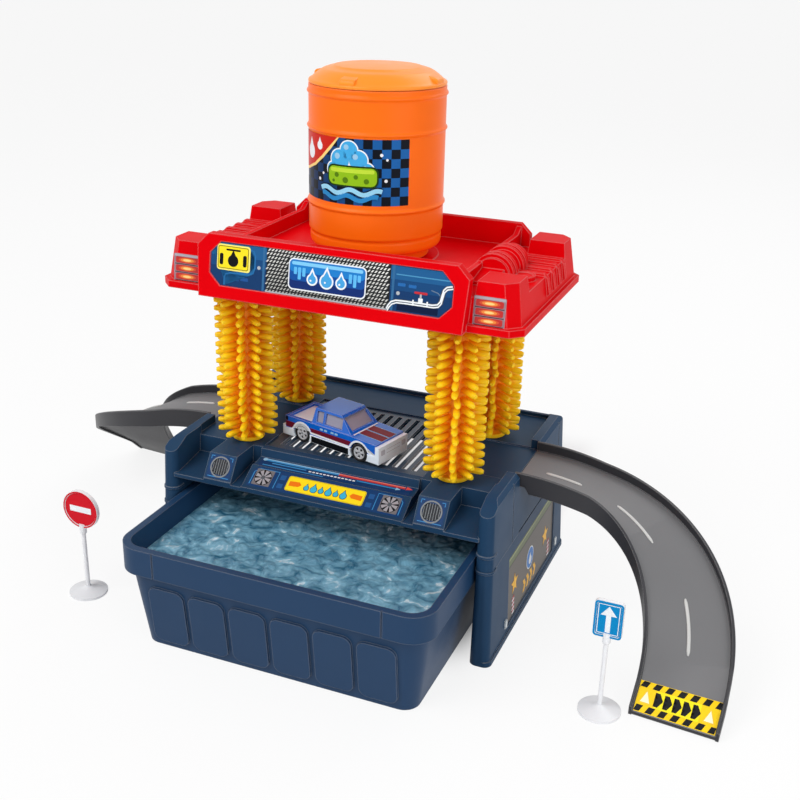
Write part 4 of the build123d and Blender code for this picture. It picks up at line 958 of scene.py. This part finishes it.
fascia_shapes += [
    (plate(-mesh_half, -half_v, mesh_half, -half_v + 0.7), silver_ink, 3),
    (plate(-22.6, -8.4, 22.6, 8.4, 2.8), white_ink, 3),
    (plate(-21.9, -7.7, 21.9, 7.7, 2.3), paint(20, 46, 110), 4),
    (plate(-21.9, -3.4, 21.9, 7.7, 2.3), paint(22, 78, 156), 5),
    (plate(-21.9, 1.2, 21.9, 7.7, 2.3), paint(34, 124, 200), 6),
    (plate(-20.6, 5.0, 20.6, 6.8, 0.8), paint(128, 200, 240), 7),
]
for u, tall in ((-18.4, 2.6), (-16.0, 5.2), (-13.4, 3.4), (13.6, 3.6), (16.2, 5.4), (18.6, 2.4)):
    fascia_shapes.append((plate(u - 0.9, 2.6 - tall, u + 0.9, 3.8, 0.4), paint(96, 184, 236), 7))
for u, size in ((-8.4, 3.2), (0.0, 4.1), (8.4, 3.2)):
    fascia_shapes.append((drop(u, -1.8, size, 1.95), white_ink, 8))
    fascia_shapes.append((drop(u, -1.8, size - 0.9, 1.8), paint(70, 160, 220), 9))
    fascia_shapes.append((disc(u - 0.8, -2.4, 0.55, 12), white_ink, 10))
left_line = [
    (-69.2, 8.8), (-60.0, 9.6), (-46.4, 9.6), (-43.6, 8.6), (-42.8, 6.0), (-42.8, 0.0),
    (-43.8, -3.0), (-46.4, -4.4), (-58.0, -4.4), (-60.6, -5.4), (-61.4, -8.0), (-61.4, -11.4),
]
fascia_shapes += [
    (strip(left_line, 0.8), paint(40, 110, 168), 3),
    (plate(-38.2, -half_v, -36.9, half_v), paint(52, 104, 150), 3),
    (plate(36.9, -half_v, 38.2, half_v), paint(52, 104, 150), 3),
    (plate(-66.2, -3.2, -45.8, 10.8, 1.6), paint(250, 236, 120), 4),
    (plate(-65.6, -2.4, -46.8, 10.0, 1.2), paint(150, 134, 20), 5),
    (plate(-65.1, -1.9, -47.3, 9.5, 0.9), paint(246, 224, 40), 6),
    (drop(-56.2, 2.2, 3.2, 1.8), black_ink, 7),
    (plate(-60.6, 7.5, -51.8, 8.5, 0.4), black_ink, 7),
    (disc(-40.4, 0.4, 1.0, 14), silver_ink, 3),
    (plate(-57.0, -8.4, -52.4, -6.6), paint(34, 84, 150), 1),
    (plate(-51.4, -8.0, -46.8, -6.2), paint(34, 84, 150), 1),
    (plate(39.0, 7.0, 68.4, 7.6), paint(76, 146, 190), 3),
    (plate(40.2, 1.4, 44.4, 3.0, 0.3), paint(40, 104, 172), 2),
    (plate(46.2, 1.2, 50.4, 2.8, 0.3), paint(40, 104, 172), 2),
    (disc(40.6, -2.4, 1.0, 14), silver_ink, 3),
    (strip([(58.6, 1.4), (62.4, 0.4), (65.2, -2.2)], 0.45), paint(110, 130, 150), 3),
    (plate(40.4, -11.2, 63.0, -7.6, 0.4), deep_ink, 1),
]
for x in (-63.4, -49.0):
    fascia_shapes.append((plate(x - 1.1, -0.4, x + 1.1, 5.8, 0.9), black_ink, 7))
pipe = [
    (34.8, -11.2), (35.6, -9.2), (37.2, -7.2), (39.6, -6.2), (44.0, -6.0), (60.0, -6.0),
    (62.6, -5.4), (64.0, -3.6), (64.6, -0.6), (65.3, 2.4), (66.8, 4.0), (69.8, 4.8),
]
fascia_shapes += [
    (strip([(x + 0.2, y - 0.5) for x, y in pipe], 2.5), paint(70, 78, 88), 3),
    (strip([(x + 0.5, y - 1.2) for x, y in pipe], 0.7), white_ink, 4),
    (strip(pipe, 0.8), white_ink, 4),
    (plate(48.8, -7.6, 49.6, -4.6, 0.3), white_ink, 5),
    (plate(56.6, -7.6, 57.4, -4.6, 0.3), white_ink, 5),
    (plate(52.0, -5.8, 54.4, -3.4, 0.3), white_ink, 5),
    (plate(52.7, -3.6, 53.7, -1.2), silver_ink, 5),
    (plate(49.6, -1.4, 56.8, -0.2, 0.5), paint(196, 50, 60), 6),
]
printed_sheet("fascia_print", "base", "red_plastic", vinyl, fascia_shapes, fascia_place)

glow_look, glow_tree, glow_shader = new_material("lamp_print")
glow_rough = ranged(glow_tree, noise(glow_tree, 500), 0.12, 0.26)
wire(glow_tree, glow_shader, {"Base Color": ink_colour(glow_tree), "Roughness": glow_rough})
glow_ovals = (
    (5.6, 1.4, paint(214, 74, 24), 4),
    (4.2, 1.05, paint(238, 140, 50), 5),
    (2.6, 0.62, paint(255, 214, 130), 6),
)
for middle, label in ((-89.2, "left"), (88.0, "right")):
    lamp_place = flat_place((middle, -57.62, 197.2), (1, 0, 0), (0, 1.5, 14))
    lamp_shapes = [
        (plate(-8.6, -7.9, 8.6, 7.9, 0.8), paint(150, 146, 156), 0),
        (plate(-7.9, -7.3, 7.9, 7.2, 0.5), paint(58, 22, 26), 1),
        (plate(-8.2, 6.2, 8.2, 7.6, 0.3), paint(176, 168, 178), 2),
    ]
    for bar in (-4.6, 0.0, 4.6):
        lamp_shapes.append((plate(-8.4, bar - 2.2, 8.4, bar + 1.9, 1.0), paint(150, 120, 130), 2))
        lamp_shapes.append((plate(-7.4, bar - 1.9, 7.4, bar + 1.6, 0.9), paint(188, 22, 18), 3))
        for reach, tall, colour, layer in glow_ovals:
            oval = [(x, bar - 0.1 + y * tall / reach) for x, y in disc(0, 0, reach, 24)]
            lamp_shapes.append((oval, colour, layer))
    printed_sheet(f"lamp_print_{label}", "base", "red_plastic", glow_look, lamp_shapes, lamp_place)

# Tank, lid and outlet cap: blow-moulded orange plastic, glossy, with soft rolled ridges.
# The lid plugs into the open top, and a printed label is wrapped round the side.
blown = {"roughness": 0.34, "lift": 0.1, "radius": 0.0008, "grain": 0.03}
tank_orange = moulded("tank_orange", paint(255, 112, 12), gloss=0.16, **blown)
lid_orange = moulded("lid_orange", paint(255, 146, 38), gloss=0.25, **blown)
tank_radius, tank_foot, tank_top = 37.6, 205.0, 298.0
step_level, groove_level = 211.0, 218.5


def wall_radius(height):
    """Outer radius of the tank's side, with its rolled ridges and its foot groove."""
    radius = tank_radius
    for middle in (235.0, 275.6, 294.0):
        away = abs(height - middle) / 1.7
        if away < 1:
            radius += 0.45 * (1 + math.cos(math.pi * away))
    away = abs(height - groove_level) / 1.6
    if away < 1:
        radius -= 0.4 * (1 + math.cos(math.pi * away))
    if height < groove_level:
        radius -= 0.7 * min(1.0, (groove_level - height) / 1.2)
    rise = (height - step_level) / 3.5
    if rise < 1:
        radius -= 2.4 * (1 - math.sqrt(max(0.0, 1 - (1 - rise) ** 2)))
    return radius


tank_profile = [(5.4, tank_foot + 1.6), (5.4, 196.0), (7.0, 196.0), (7.0, tank_foot)]
tank_profile += [(29.6, tank_foot), (30.2, tank_foot + 0.6), (30.2, step_level - 0.6), (31.0, step_level)]
heights = list(np.arange(step_level, tank_top - 0.5, 0.32)) + [tank_top - 0.4]
tank_profile += [(wall_radius(height), height) for height in heights]
tank_profile += [
    (tank_radius - 0.35, tank_top), (35.5, tank_top), (35.2, tank_top - 0.4), (35.2, step_level + 3.4),
    (31.0, step_level + 1.6), (28.4, step_level + 1.6), (28.4, tank_foot + 1.6),
]
tank_mesh = lathe_mesh("tank_moulding", tank_profile, (0, 0), 160)
piece = put(tank_mesh, "tank_moulding", "tank", "orange_plastic", tank_orange)
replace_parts(piece, "tank_shell")
cap_look = moulded("cap_orange", paint(250, 120, 24), roughness=0.32, lift=0.1)
remade("outlet_cap", "outlet_cap_moulding", "orange_plastic", cap_look)
lid_profile = [(0, 307.3), (23.2, 307.3), (23.8, 307.15), (24.6, 306.5), (27.2, 306.2), (28.6, 305.7)]
for step in range(9):
    share = step / 8
    lid_profile.append((28.6 + 7.6 * share, 305.7 - 5.2 * share**1.35))
lid_profile += [
    (37.2, 300.1), (37.55, 299.6), (37.6, 298.9), (37.4, 298.3), (34.9, 298.3), (34.9, 292.3), (33.3, 292.3),
    (33.3, 298.3), (30.0, 300.4), (25.6, 304.6), (0, 304.7),
]
lid_mesh = lathe_mesh("lid_moulding", lid_profile, (0, 0), 160, closed=False)
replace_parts(put(lid_mesh, "lid_moulding", "lid", "orange_plastic", lid_orange), "tank_lid")


def capped(made, rings, materials=None):
    """Closed solid through rings of points, with a material for each of its sides."""
    materials = materials or [0] * len(rings[0])
    for cap in (rings[0], rings[-1][::-1]):
        made.faces.new(cap).material_index = materials[0]
    for first, second in zip(rings, rings[1:]):
        for index, material in enumerate(materials):
            after = (index + 1) % len(materials)
            face = made.faces.new((first[index], second[index], second[after], first[after]))
            face.material_index = material


lugs = bmesh.new()
lug_outline = [(37.2, 299.6), (37.2, 301.8), (36.2, 303.0), (29.6, 304.6), (27.6, 304.0), (27.6, 299.6)]
lug_half = 4.4
for quarter in range(4):
    turn = math.radians(-93 + 90 * quarter)
    along, across = Vector((math.cos(turn), math.sin(turn), 0)), Vector((-math.sin(turn), math.cos(turn), 0))
    rings = []
    for width in (-lug_half, lug_half):
        spots = [along * reach + across * width + Vector((0, 0, height)) for reach, height in lug_outline]
        rings.append([lugs.verts.new(at(*spot)) for spot in spots])
    capped(lugs, rings)
bmesh.ops.bevel(lugs, geom=lugs.edges[:], offset=0.0008, segments=3, affect="EDGES", profile=0.6)
bmesh.ops.recalc_face_normals(lugs, faces=lugs.faces)
put(finished(lugs, "lid_lugs", 60), "lid_lugs", "lid", "orange_plastic", lid_orange)

label_middle = math.radians(-94.0)
label_half = 35.6
label_low, label_high = 238.8, 273.6


def wrapped(u, v, h):
    """Point of the label, u along the side, v up from its middle and h out."""
    radius = tank_radius + h
    turn = label_middle + u / tank_radius
    return at(radius * math.cos(turn), radius * math.sin(turn), (label_low + label_high) / 2 + v)


half_tall = (label_high - label_low) / 2
label_shapes = [(plate(-label_half, -half_tall, label_half, half_tall), paint(8, 14, 26), 0)]
cell = 2 * half_tall / 7
for column in range(15):
    for row in range(7):
        u0, v0 = label_half - cell * (column + 1), -half_tall + cell * row
        u1, v1 = u0 + cell, v0 + cell
        u0 = max(u0, -label_half)
        if (column + row) % 2 and u1 > u0:
            share = max(0.0, min(1.0, (u0 + 26) / 50))
            tint = tuple(a + (b - a) * share for a, b in zip(paint(14, 36, 76), paint(28, 98, 170)))
            label_shapes.append((plate(u0, v0, u1, v1), tint, 1))
corner_line = [
    (-3.0, half_tall), (-8.2, 11.1), (-14.2, 5.4), (-21.4, 0.4), (-30.3, -2.8), (-label_half, -4.0),
]
inner_line = [(u - 1.0, min(v + 1.2, half_tall)) for u, v in corner_line[:-1]] + [(-label_half, -2.5)]
label_shapes += [
    ([(-label_half, half_tall)] + corner_line, paint(250, 214, 130), 2),
    ([(-label_half, half_tall)] + inner_line, paint(200, 34, 20), 3),
    (drop(-26.4, 7.4, 4.0, 1.9), white_ink, 4),
    (drop(-17.0, 11.6, 2.3, 1.9), white_ink, 4),
]
foam = ((-2.3, 6.0, 5.4), (2.9, 11.2, 4.8), (8.1, 6.4, 5.0), (-6.5, 0.6, 3.8), (12.9, 1.4, 3.6))
for u, v, size in foam:
    label_shapes.append((disc(u, v, size + 0.7, 30), white_ink, 4))
for u, v, size in foam:
    label_shapes.append((disc(u, v, size, 30), paint(66, 168, 224), 5))
    label_shapes.append((disc(u - size * 0.3, v + size * 0.35, size * 0.3, 16), pale_ink, 6))
label_shapes += [
    (plate(-10.1, -8.0, 19.1, 3.4, 3.6), paint(30, 60, 10), 7),
    (plate(-9.2, -7.1, 18.2, 2.5, 3.1), paint(142, 190, 26), 8),
    (plate(-7.9, -0.4, 16.9, 1.7, 0.9), paint(190, 222, 60), 9),
]
holes = ((-4.1, -2.0, 1.3), (1.1, -4.4, 1.6), (7.0, -2.4, 1.2), (12.7, -4.4, 1.4), (-6.1, -5.2, 0.8))
label_shapes += [(disc(u, v, size, 16), paint(84, 124, 12), 10) for u, v, size in holes]
wave_top = [(u, -10.4 + 1.2 * math.sin(u / 2.4)) for u in np.arange(-15, 21.1, 1.0)]
wave_low = [(u, -13.6 + 1.2 * math.sin(u / 2.4 + 0.8)) for u in np.arange(-14, 19.1, 1.0)]
label_shapes += [
    (strip(wave_top, 3.6), paint(16, 34, 66), 10),
    (strip(wave_top, 2.4), paint(150, 212, 240), 11),
    (strip(wave_low, 2.4), paint(44, 136, 200), 11),
]
specks = ((20.5, 9.5, 0.9), (23.5, 7.0, 0.7), (-17.0, -6.0, 0.9), (-14.0, -2.6, 0.7), (23.0, -4.0, 0.9))
label_shapes += [(disc(u, v, size, 12), white_ink, 2) for u, v, size in specks]
printed_sheet("tank_label", "tank", "orange_plastic", vinyl, label_shapes, wrapped, lift=0.02, step=1.5)

# Ramps: grey road mouldings that curve from the deck to the floor between dark kerbs,
# with raised lane dashes. A hazard print lies across the right one's lower end.
ramp_grey = moulded(
    "ramp_road_grey", paint(114, 114, 116), roughness=0.5, lift=0.1, grain=0.35, grain_size=0.0005
)
kerb_grey = moulded("ramp_kerb_grey", paint(50, 50, 54), roughness=0.4, lift=0.25)
dash_pale = moulded("lane_dash_pale", paint(205, 205, 203), roughness=0.4, lift=0.1)
lane_y, deck_road = -3.5, 90.0
mouth, straight, bend_radius, bend_turn, run_out = 98.5, 42.0, 67.9, math.radians(95), 10.0
ramp_length = straight + bend_radius * bend_turn + run_out


def ramp_path(run):
    """Middle of the road and its heading after a run along the right ramp."""
    if run <= straight:
        return mouth + run, lane_y, 0.0
    turn = min((run - straight) / bend_radius, bend_turn)
    x = mouth + straight + bend_radius * math.sin(turn)
    y = lane_y - bend_radius + bend_radius * math.cos(turn)
    rest = max(0.0, run - straight - bend_radius * bend_turn)
    return x + rest * math.cos(turn), y - rest * math.sin(turn), -turn


def road_height(run):
    """Height of the road's surface after a run."""
    return deck_road - 87.5 * (run / ramp_length) ** 2


def on_road(run, offset, lift, left):
    """Place on a ramp, offset to the left of travel and lifted off the road."""
    x, y, heading = ramp_path(run)
    x, y = x - math.sin(heading) * offset, y + math.cos(heading) * offset
    if left:
        x, y = -x, 2 * lane_y - y
    return at(x, y, road_height(run) + lift)


def boxed(made, corners):
    """Box between four corners below and four above, in the second material."""
    for face in ((0, 3, 2, 1), (4, 5, 6, 7), (0, 1, 5, 4), (1, 2, 6, 5), (2, 3, 7, 6), (3, 0, 4, 7)):
        made.faces.new([corners[index] for index in face]).material_index = 1


half_road, kerb_wall, road_floor = 23.5, 1.8, 2.0
kerb_start, kerb_end = 6.0, 2.4
skirt_end, skirt_growth, skirt_from = 0.5, 3.5, 7.0
road_side = 11
section_materials = [1] * 18
section_materials[road_side] = 0
lane_dashes = ((13, 34, -4.0), (57, 85, -5.5), (115, 139, 0.0))
dash_steps = 14
for name, left in (("right", False), ("left", True)):
    made = bmesh.new()
    sections = []
    for run in [0.0, 3.0, 6.0] + list(np.linspace(8.5, ramp_length, 78)):
        share = run / ramp_length
        kerb = kerb_start + (kerb_end - kerb_start) * share**2
        skirt = 0.0 if run < skirt_from else skirt_end + skirt_growth * math.sqrt(1 - share)
        outer, inner = half_road, half_road - kerb_wall
        low = -road_floor - skirt
        half = [
            (inner, -road_floor), (inner, low - 0.001), (outer, low), (outer, kerb - 0.3),
            (outer - 0.3, kerb), (inner + 0.3, kerb), (inner, kerb - 0.3), (inner, 0.5), (inner - 0.5, 0),
        ]
        rest = mirrored(half[::-1], -1)
        points = rest[-3:] + half + rest[:-3]
        sections.append([made.verts.new(on_road(run, offset, lift, left)) for offset, lift in points])
    capped(made, sections, section_materials)
    tongue = [
        (x, y, z)
        for z in (deck_road - 10.0, deck_road - 1.2)
        for x, y in plate(mouth, -20.0, mouth + 1.0, 20.0)
    ]
    sign = -1 if left else 1
    boxed(made, [made.verts.new(at(sign * x, lane_y + sign * y, z)) for x, y, z in tongue])
    bmesh.ops.remove_doubles(made, verts=made.verts, dist=0.0000005)
    bmesh.ops.recalc_face_normals(made, faces=made.faces)
    for vert in made.verts:
        vert.co.x = max(cad_box[0].x, min(cad_box[1].x, vert.co.x))
        vert.co.z = max(0.0, vert.co.z)
    mesh = finished(made, f"ramp_moulding_{name}", 40)
    piece = put(mesh, f"ramp_moulding_{name}", f"{name}_ramp", "ramp_plastic", ramp_grey, kerb_grey)
    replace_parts(piece, f"ramp_{name}")
    dashes = bmesh.new()
    for start, end, offset in lane_dashes:
        rings = []
        for step in range(dash_steps + 1):
            run = start + (end - start) * step / dash_steps
            pinch = 1.0 if 0 < step < dash_steps else 0.5
            section = [
                (-1.0 * pinch, -0.05), (1.0 * pinch, -0.05), (0.8 * pinch, 0.45 * pinch),
                (0.35 * pinch, 0.75 * pinch), (-0.35 * pinch, 0.75 * pinch), (-0.8 * pinch, 0.45 * pinch),
            ]
            rings.append([dashes.verts.new(on_road(run, offset + u, h, left)) for u, h in section])
        capped(dashes, rings)
    bmesh.ops.recalc_face_normals(dashes, faces=dashes.faces)
    mesh = finished(dashes, f"lane_dashes_{name}", 50)
    put(mesh, f"lane_dashes_{name}", f"{name}_ramp", "ramp_plastic", dash_pale)

hazard_start, hazard_end, hazard_half = 152.6, 164.2, 21.2


def hazard_place(u, v, h):
    """Point of the hazard print, u along the way and v across it."""
    return on_road(u, v, h, False)


hazard_shapes = []
for column in range(8):
    v = -hazard_half + 5.3 * column
    hazard_shapes.append((plate(hazard_start, v, hazard_end, v + 5.3), paint(255, 212, 20), 0))
for column in range(4):
    v = -11.6 + 5.8 * column
    hazard_shapes.append((plate(hazard_start + 2.6, v, hazard_end - 2.6, v + 5.8), paint(255, 236, 30), 1))
bar_depth = 2.3
for block in range(7):
    for low, shift in ((hazard_start + 0.2, 0.0), (hazard_end - 0.2 - bar_depth, -0.9)):
        v = -hazard_half + 0.3 + shift + 6.5 * block
        slab = [(low, v + 1.5), (low, v + 5.0), (low + bar_depth, v + 3.5), (low + bar_depth, v)]
        slab = [(u, max(-hazard_half, min(x, hazard_half))) for u, x in slab]
        hazard_shapes.append((slab, black_ink, 2))
mid_u = (hazard_start + hazard_end) / 2
for v in (-16.6, 16.6):
    for low, high, half, tone in ((-2.8, 2.6, 3.2, (255, 206, 60)), (-1.9, 2.1, 2.4, (255, 252, 214))):
        triangle = [(mid_u + high, v - half), (mid_u + high, v + half), (mid_u + low, v)]
        hazard_shapes.append((triangle, paint(*tone), 2 if half > 3 else 3))
for index in range(5):
    v = -12.1 + 4.9 * index
    chevron = [
        (mid_u + 2.6, v), (mid_u + 0.1, v + 2.2), (mid_u - 2.4, v),
        (mid_u - 2.4, v + 2.3), (mid_u + 0.1, v + 4.5), (mid_u + 2.6, v + 2.3),
    ]
    hazard_shapes.append((chevron, black_ink, 3))
printed_sheet(
    "hazard_print", "right_ramp", "ramp_plastic", vinyl, hazard_shapes, hazard_place, lift=0.02, step=1.0
)

# Road signs: glossy white mouldings, each a round foot with a pole that pushes into the
# ferrule of its plate. One print fills the plate's recess, and a second one its border.
sign_white = moulded("sign_white", paint(236, 237, 240), roughness=0.25, lift=0.0, grain=0.03, radius=0.0004)
for name in ("round_sign", "arrow_sign"):
    remade(f"{name}_stand", f"{name}_stand_moulding", "sign_white", sign_white)
    remade(f"{name}_plate", f"{name}_plate_moulding", "sign_white", sign_white)
sign_blue, sign_red = paint(0, 134, 196), paint(206, 14, 34)
print_back, border_back = 0.7, 1.2
upright_face = ((1, 0, 0), (0, 0, 1))
round_place = flat_place((-141.3, -102.8 - print_back, 56.0), *upright_face)
round_shapes = [(disc(0, 0, 10.6, 48), sign_red, 0), (plate(-7.4, -1.9, 7.4, 1.9, 0.3), white_ink, 1)]
printed_sheet("round_sign_print", "round_sign", "sign_white", vinyl, round_shapes, round_place)
inner, outer = ([(size * u, size * v) for u, v in disc(0, 0, 1.0, 48)] for size in (10.9, 11.7))
round_place = flat_place((-141.3, -102.8 - border_back, 56.0), *upright_face)
round_rim = band(inner, outer, sign_red)
printed_sheet("round_sign_border", "round_sign", "sign_white", vinyl, round_rim, round_place)
arrow_place = flat_place((169.4, -88.9 - print_back, 56.2), *upright_face)
arrow_shapes = [
    (plate(-6.2, -9.2, 6.2, 9.2, 1.3), sign_blue, 0),
    (plate(-1.3, -7.6, 1.3, 2.2), white_ink, 1),
    ([(-4.2, 2.2), (4.2, 2.2), (0, 7.6)], white_ink, 1),
]
for start, end in (
    ((-5.4, -8.4), (5.4, -8.4)),
    ((-5.4, 8.4), (5.4, 8.4)),
    ((-5.4, -8.4), (-5.4, 8.4)),
    ((5.4, -8.4), (5.4, 8.4)),
):
    arrow_shapes.append((strip([start, end], 0.4), white_ink, 1))
printed_sheet("arrow_sign_print", "arrow_sign", "sign_white", vinyl, arrow_shapes, arrow_place)
arrow_place = flat_place((169.4, -88.9 - border_back, 56.2), *upright_face)
arrow_rim = band(plate(-6.35, -9.35, 6.35, 9.35, 1.0), plate(-7.35, -10.35, 7.35, 10.35, 1.8), sign_blue)
printed_sheet("arrow_sign_border", "arrow_sign", "sign_white", vinyl, arrow_rim, arrow_place)

# Toy pickup: a die-cast blue shell on a white plastic pan, with pale grey windows, a white
# load bed and black wheels with silvery spokes. Trim, bands and stripes are printed.
car_blue = moulded(
    "car_enamel_blue", paint(0, 98, 205), roughness=0.16, lift=0.3, radius=0.0007, grain=0.03, gloss=0.5
)
car_white = moulded("car_pan_white", paint(236, 246, 255), roughness=0.3, lift=0.0, radius=0.0006)
remade("car_body", "car_shell", "car_paint", car_blue)
remade("car_chassis", "car_pan", "car_white", car_white)
remade("car_bed", "car_bed_floor", "car_white", car_white)
# The windows are opaque pale grey: the interior seen through them, and in part painted reflection.
glass_look = moulded("car_window_tint", paint(152, 150, 168), roughness=0.1, lift=0.0, grain=0.0)
remade("car_windows", "car_glazing", "car_glass", glass_look)
for end in ("front", "rear"):
    remade(f"{end}_axle", f"{end}_axle_pin", "steel", screw_steel)
car_turn, car_half = math.radians(-14.0), 13.3


def on_car(x, y, z):
    """Place on the parked pickup: ahead of, left of and above the middle of its wheels."""
    ahead, left = math.cos(car_turn), math.sin(car_turn)
    return at(-9.0 + x * ahead - y * left, -21.8 + x * left + y * ahead, 90 + z)


def car_side(side):
    """Function that puts print points on one side of the body, u ahead as seen from there."""

    def place(u, v, h):
        return on_car(-side * u, side * (car_half + h), v)

    return place


def bonnet_place(u, v, h):
    """Point of the bonnet print, u ahead of its middle and v to the left."""
    return on_car(24.5 + u, v, 14.4 - 0.8 * (9 + u) / 17.95 + h)


def nose_place(u, v, h):
    """Point on the front panel, u to the left as seen and v up."""
    return on_car(36.25 + h, u, v)


maroon_ink, stripe_ink = paint(110, 24, 44), paint(118, 6, 28)
axle_x, axle_height, arch_radius = 21.5, 5.6, 6.95
arch_line = [math.radians(turn) for turn in range(160, 19, -10)]
for side, label in ((-1, "right"), (1, "left")):
    trim = [(-34.2, 6.0), (-29.6, 6.6)]
    for wheel_x, before in ((-axle_x, []), (axle_x, [(14.2, 7.4)])):
        trim += before
        for turn in arch_line:
            trim.append((wheel_x + arch_radius * math.cos(turn), axle_height + arch_radius * math.sin(turn)))
    trim += [(31.0, 7.0), (33.4, 7.0)]
    bands = [
        [(-13.8, 8.1), (13.8, 8.1), (15.6, 11.0), (-15.6, 11.0)],
        [(-34.3, 7.2), (-29.2, 7.4), (-27.0, 11.0), (-34.3, 11.0)],
    ]
    car_shapes = [(mirrored(outline, -side), maroon_ink, 0) for outline in bands]
    car_shapes.append((strip(mirrored(trim, -side), 1.1), white_ink, 1))
    # A black patch at the top rear corner of each side.
    rear_patch_low, rear_patch_high = sorted((side * 34.2, side * 32.6))
    car_shapes.append((plate(rear_patch_low, 11.4, rear_patch_high, 14.0, 0.2), black_ink, 0))
    for x in (-6.6, -3.4, 1.6, 4.6):
        car_shapes.append((plate(-side * x - 1.1, 12.4 - 0.6, -side * x + 1.1, 12.4 + 0.6, 0.3), pale_ink, 0))
    printed_sheet(f"car_side_print_{label}", "car", "car_paint", vinyl, car_shapes, car_side(side))
    # A black sheet along the lower side of the white pan, below the trim: painted shade under the body's
    # sill.
    skirt = [(plate(-14.0, 2.5, 14.0, 6.3), black_ink, 0)]
    printed_sheet(f"car_skirt_print_{label}", "car", "car_white", vinyl, skirt, car_side(side), lift=0.5)
bonnet_shapes = [
    (plate(-8.5, 0.2, 8.7, 7.3), pale_ink, 0),
    (plate(-8.5, -7.3, 8.7, -0.2), pale_ink, 0),
    (plate(-8.1, 0.6, 8.5, 6.9), stripe_ink, 1),
    (plate(-8.1, -6.9, 8.5, -0.6), stripe_ink, 1),
    (plate(-8.9, -11.2, -7.9, 11.2), white_ink, 2),
]
printed_sheet("car_bonnet_print", "car", "car_paint", vinyl, bonnet_shapes, bonnet_place, lift=0.03)
nose_shapes = [(plate(-6.4, z, 6.4, z + 0.3), paint(190, 190, 200), 0) for z in (7.4, 9.6)]
for middle in (-9.8, 9.8):
    nose_shapes.append((plate(middle - 1.8, 7.2, middle + 1.8, 10.4, 0.6), paint(196, 198, 208), 0))
printed_sheet("car_nose_print", "car", "car_white", vinyl, nose_shapes, nose_place)

tyre_look = moulded("tyre_black", paint(22, 22, 24), roughness=0.6, lift=0.1)
rim_look = moulded("rim_silver", paint(196, 198, 202), roughness=0.22, lift=0.1, gloss=0.6)
tyre_profile = [
    (0.85, 9.3), (4.6, 9.3), (5.2, 9.5), (5.6, 10.1), (5.6, 12.7), (5.3, 13.3), (4.7, 13.5), (4.1, 13.3),
    (3.9, 12.9), (3.9, 12.7), (0.85, 12.7),
]
rim_profile = [(3.1, 12.6), (3.86, 12.6), (3.86, 13.1), (3.7, 13.3), (3.4, 13.2), (3.1, 12.9)]
hub_profile = [(0.85, 12.6), (1.3, 12.6), (1.3, 13.1), (1.05, 13.3), (0.85, 13.3)]
spoke_corners = ((1.1, -0.5), (1.1, 0.5), (3.3, 0.28), (3.3, -0.28))
wheel_sides, spokes = 40, 5


def on_wheel(wheel_x, radius, turn, reach):
    """Place on a wheel, at a radius and turn about its axle and a reach from the car's middle."""
    return on_car(wheel_x + radius * math.cos(turn), reach, axle_height + radius * math.sin(turn))


for end, wheel_x in (("front", axle_x), ("rear", -axle_x)):
    for side, label in ((1, "left"), (-1, "right")):
        wheel = bmesh.new()
        for profile, material in ((tyre_profile, 0), (rim_profile, 1), (hub_profile, 1)):
            rings = []
            for radius, reach in profile:
                turns = [2 * math.pi * step / wheel_sides for step in range(wheel_sides)]
                places = [on_wheel(wheel_x, radius, turn, side * reach) for turn in turns]
                rings.append([wheel.verts.new(spot) for spot in places])
            for low, high in zip(rings, rings[1:] + rings[:1]):
                ring_faces(wheel, low, high, material)
        for spoke in range(spokes):
            turn = 2 * math.pi * spoke / spokes + 0.3
            corners = []
            for reach in (12.6, 13.15):
                for radius, swing in spoke_corners:
                    corners.append(wheel.verts.new(on_wheel(wheel_x, radius, turn + swing, side * reach)))
            boxed(wheel, corners)
        bmesh.ops.recalc_face_normals(wheel, faces=wheel.faces)
        name = f"wheel_{end}_{label}"
        piece = put(finished(wheel, name, 40), name, f"{end}_wheels", "tyre_black", tyre_look, rim_look)
        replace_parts(piece, f"{end}_wheel_{label}")
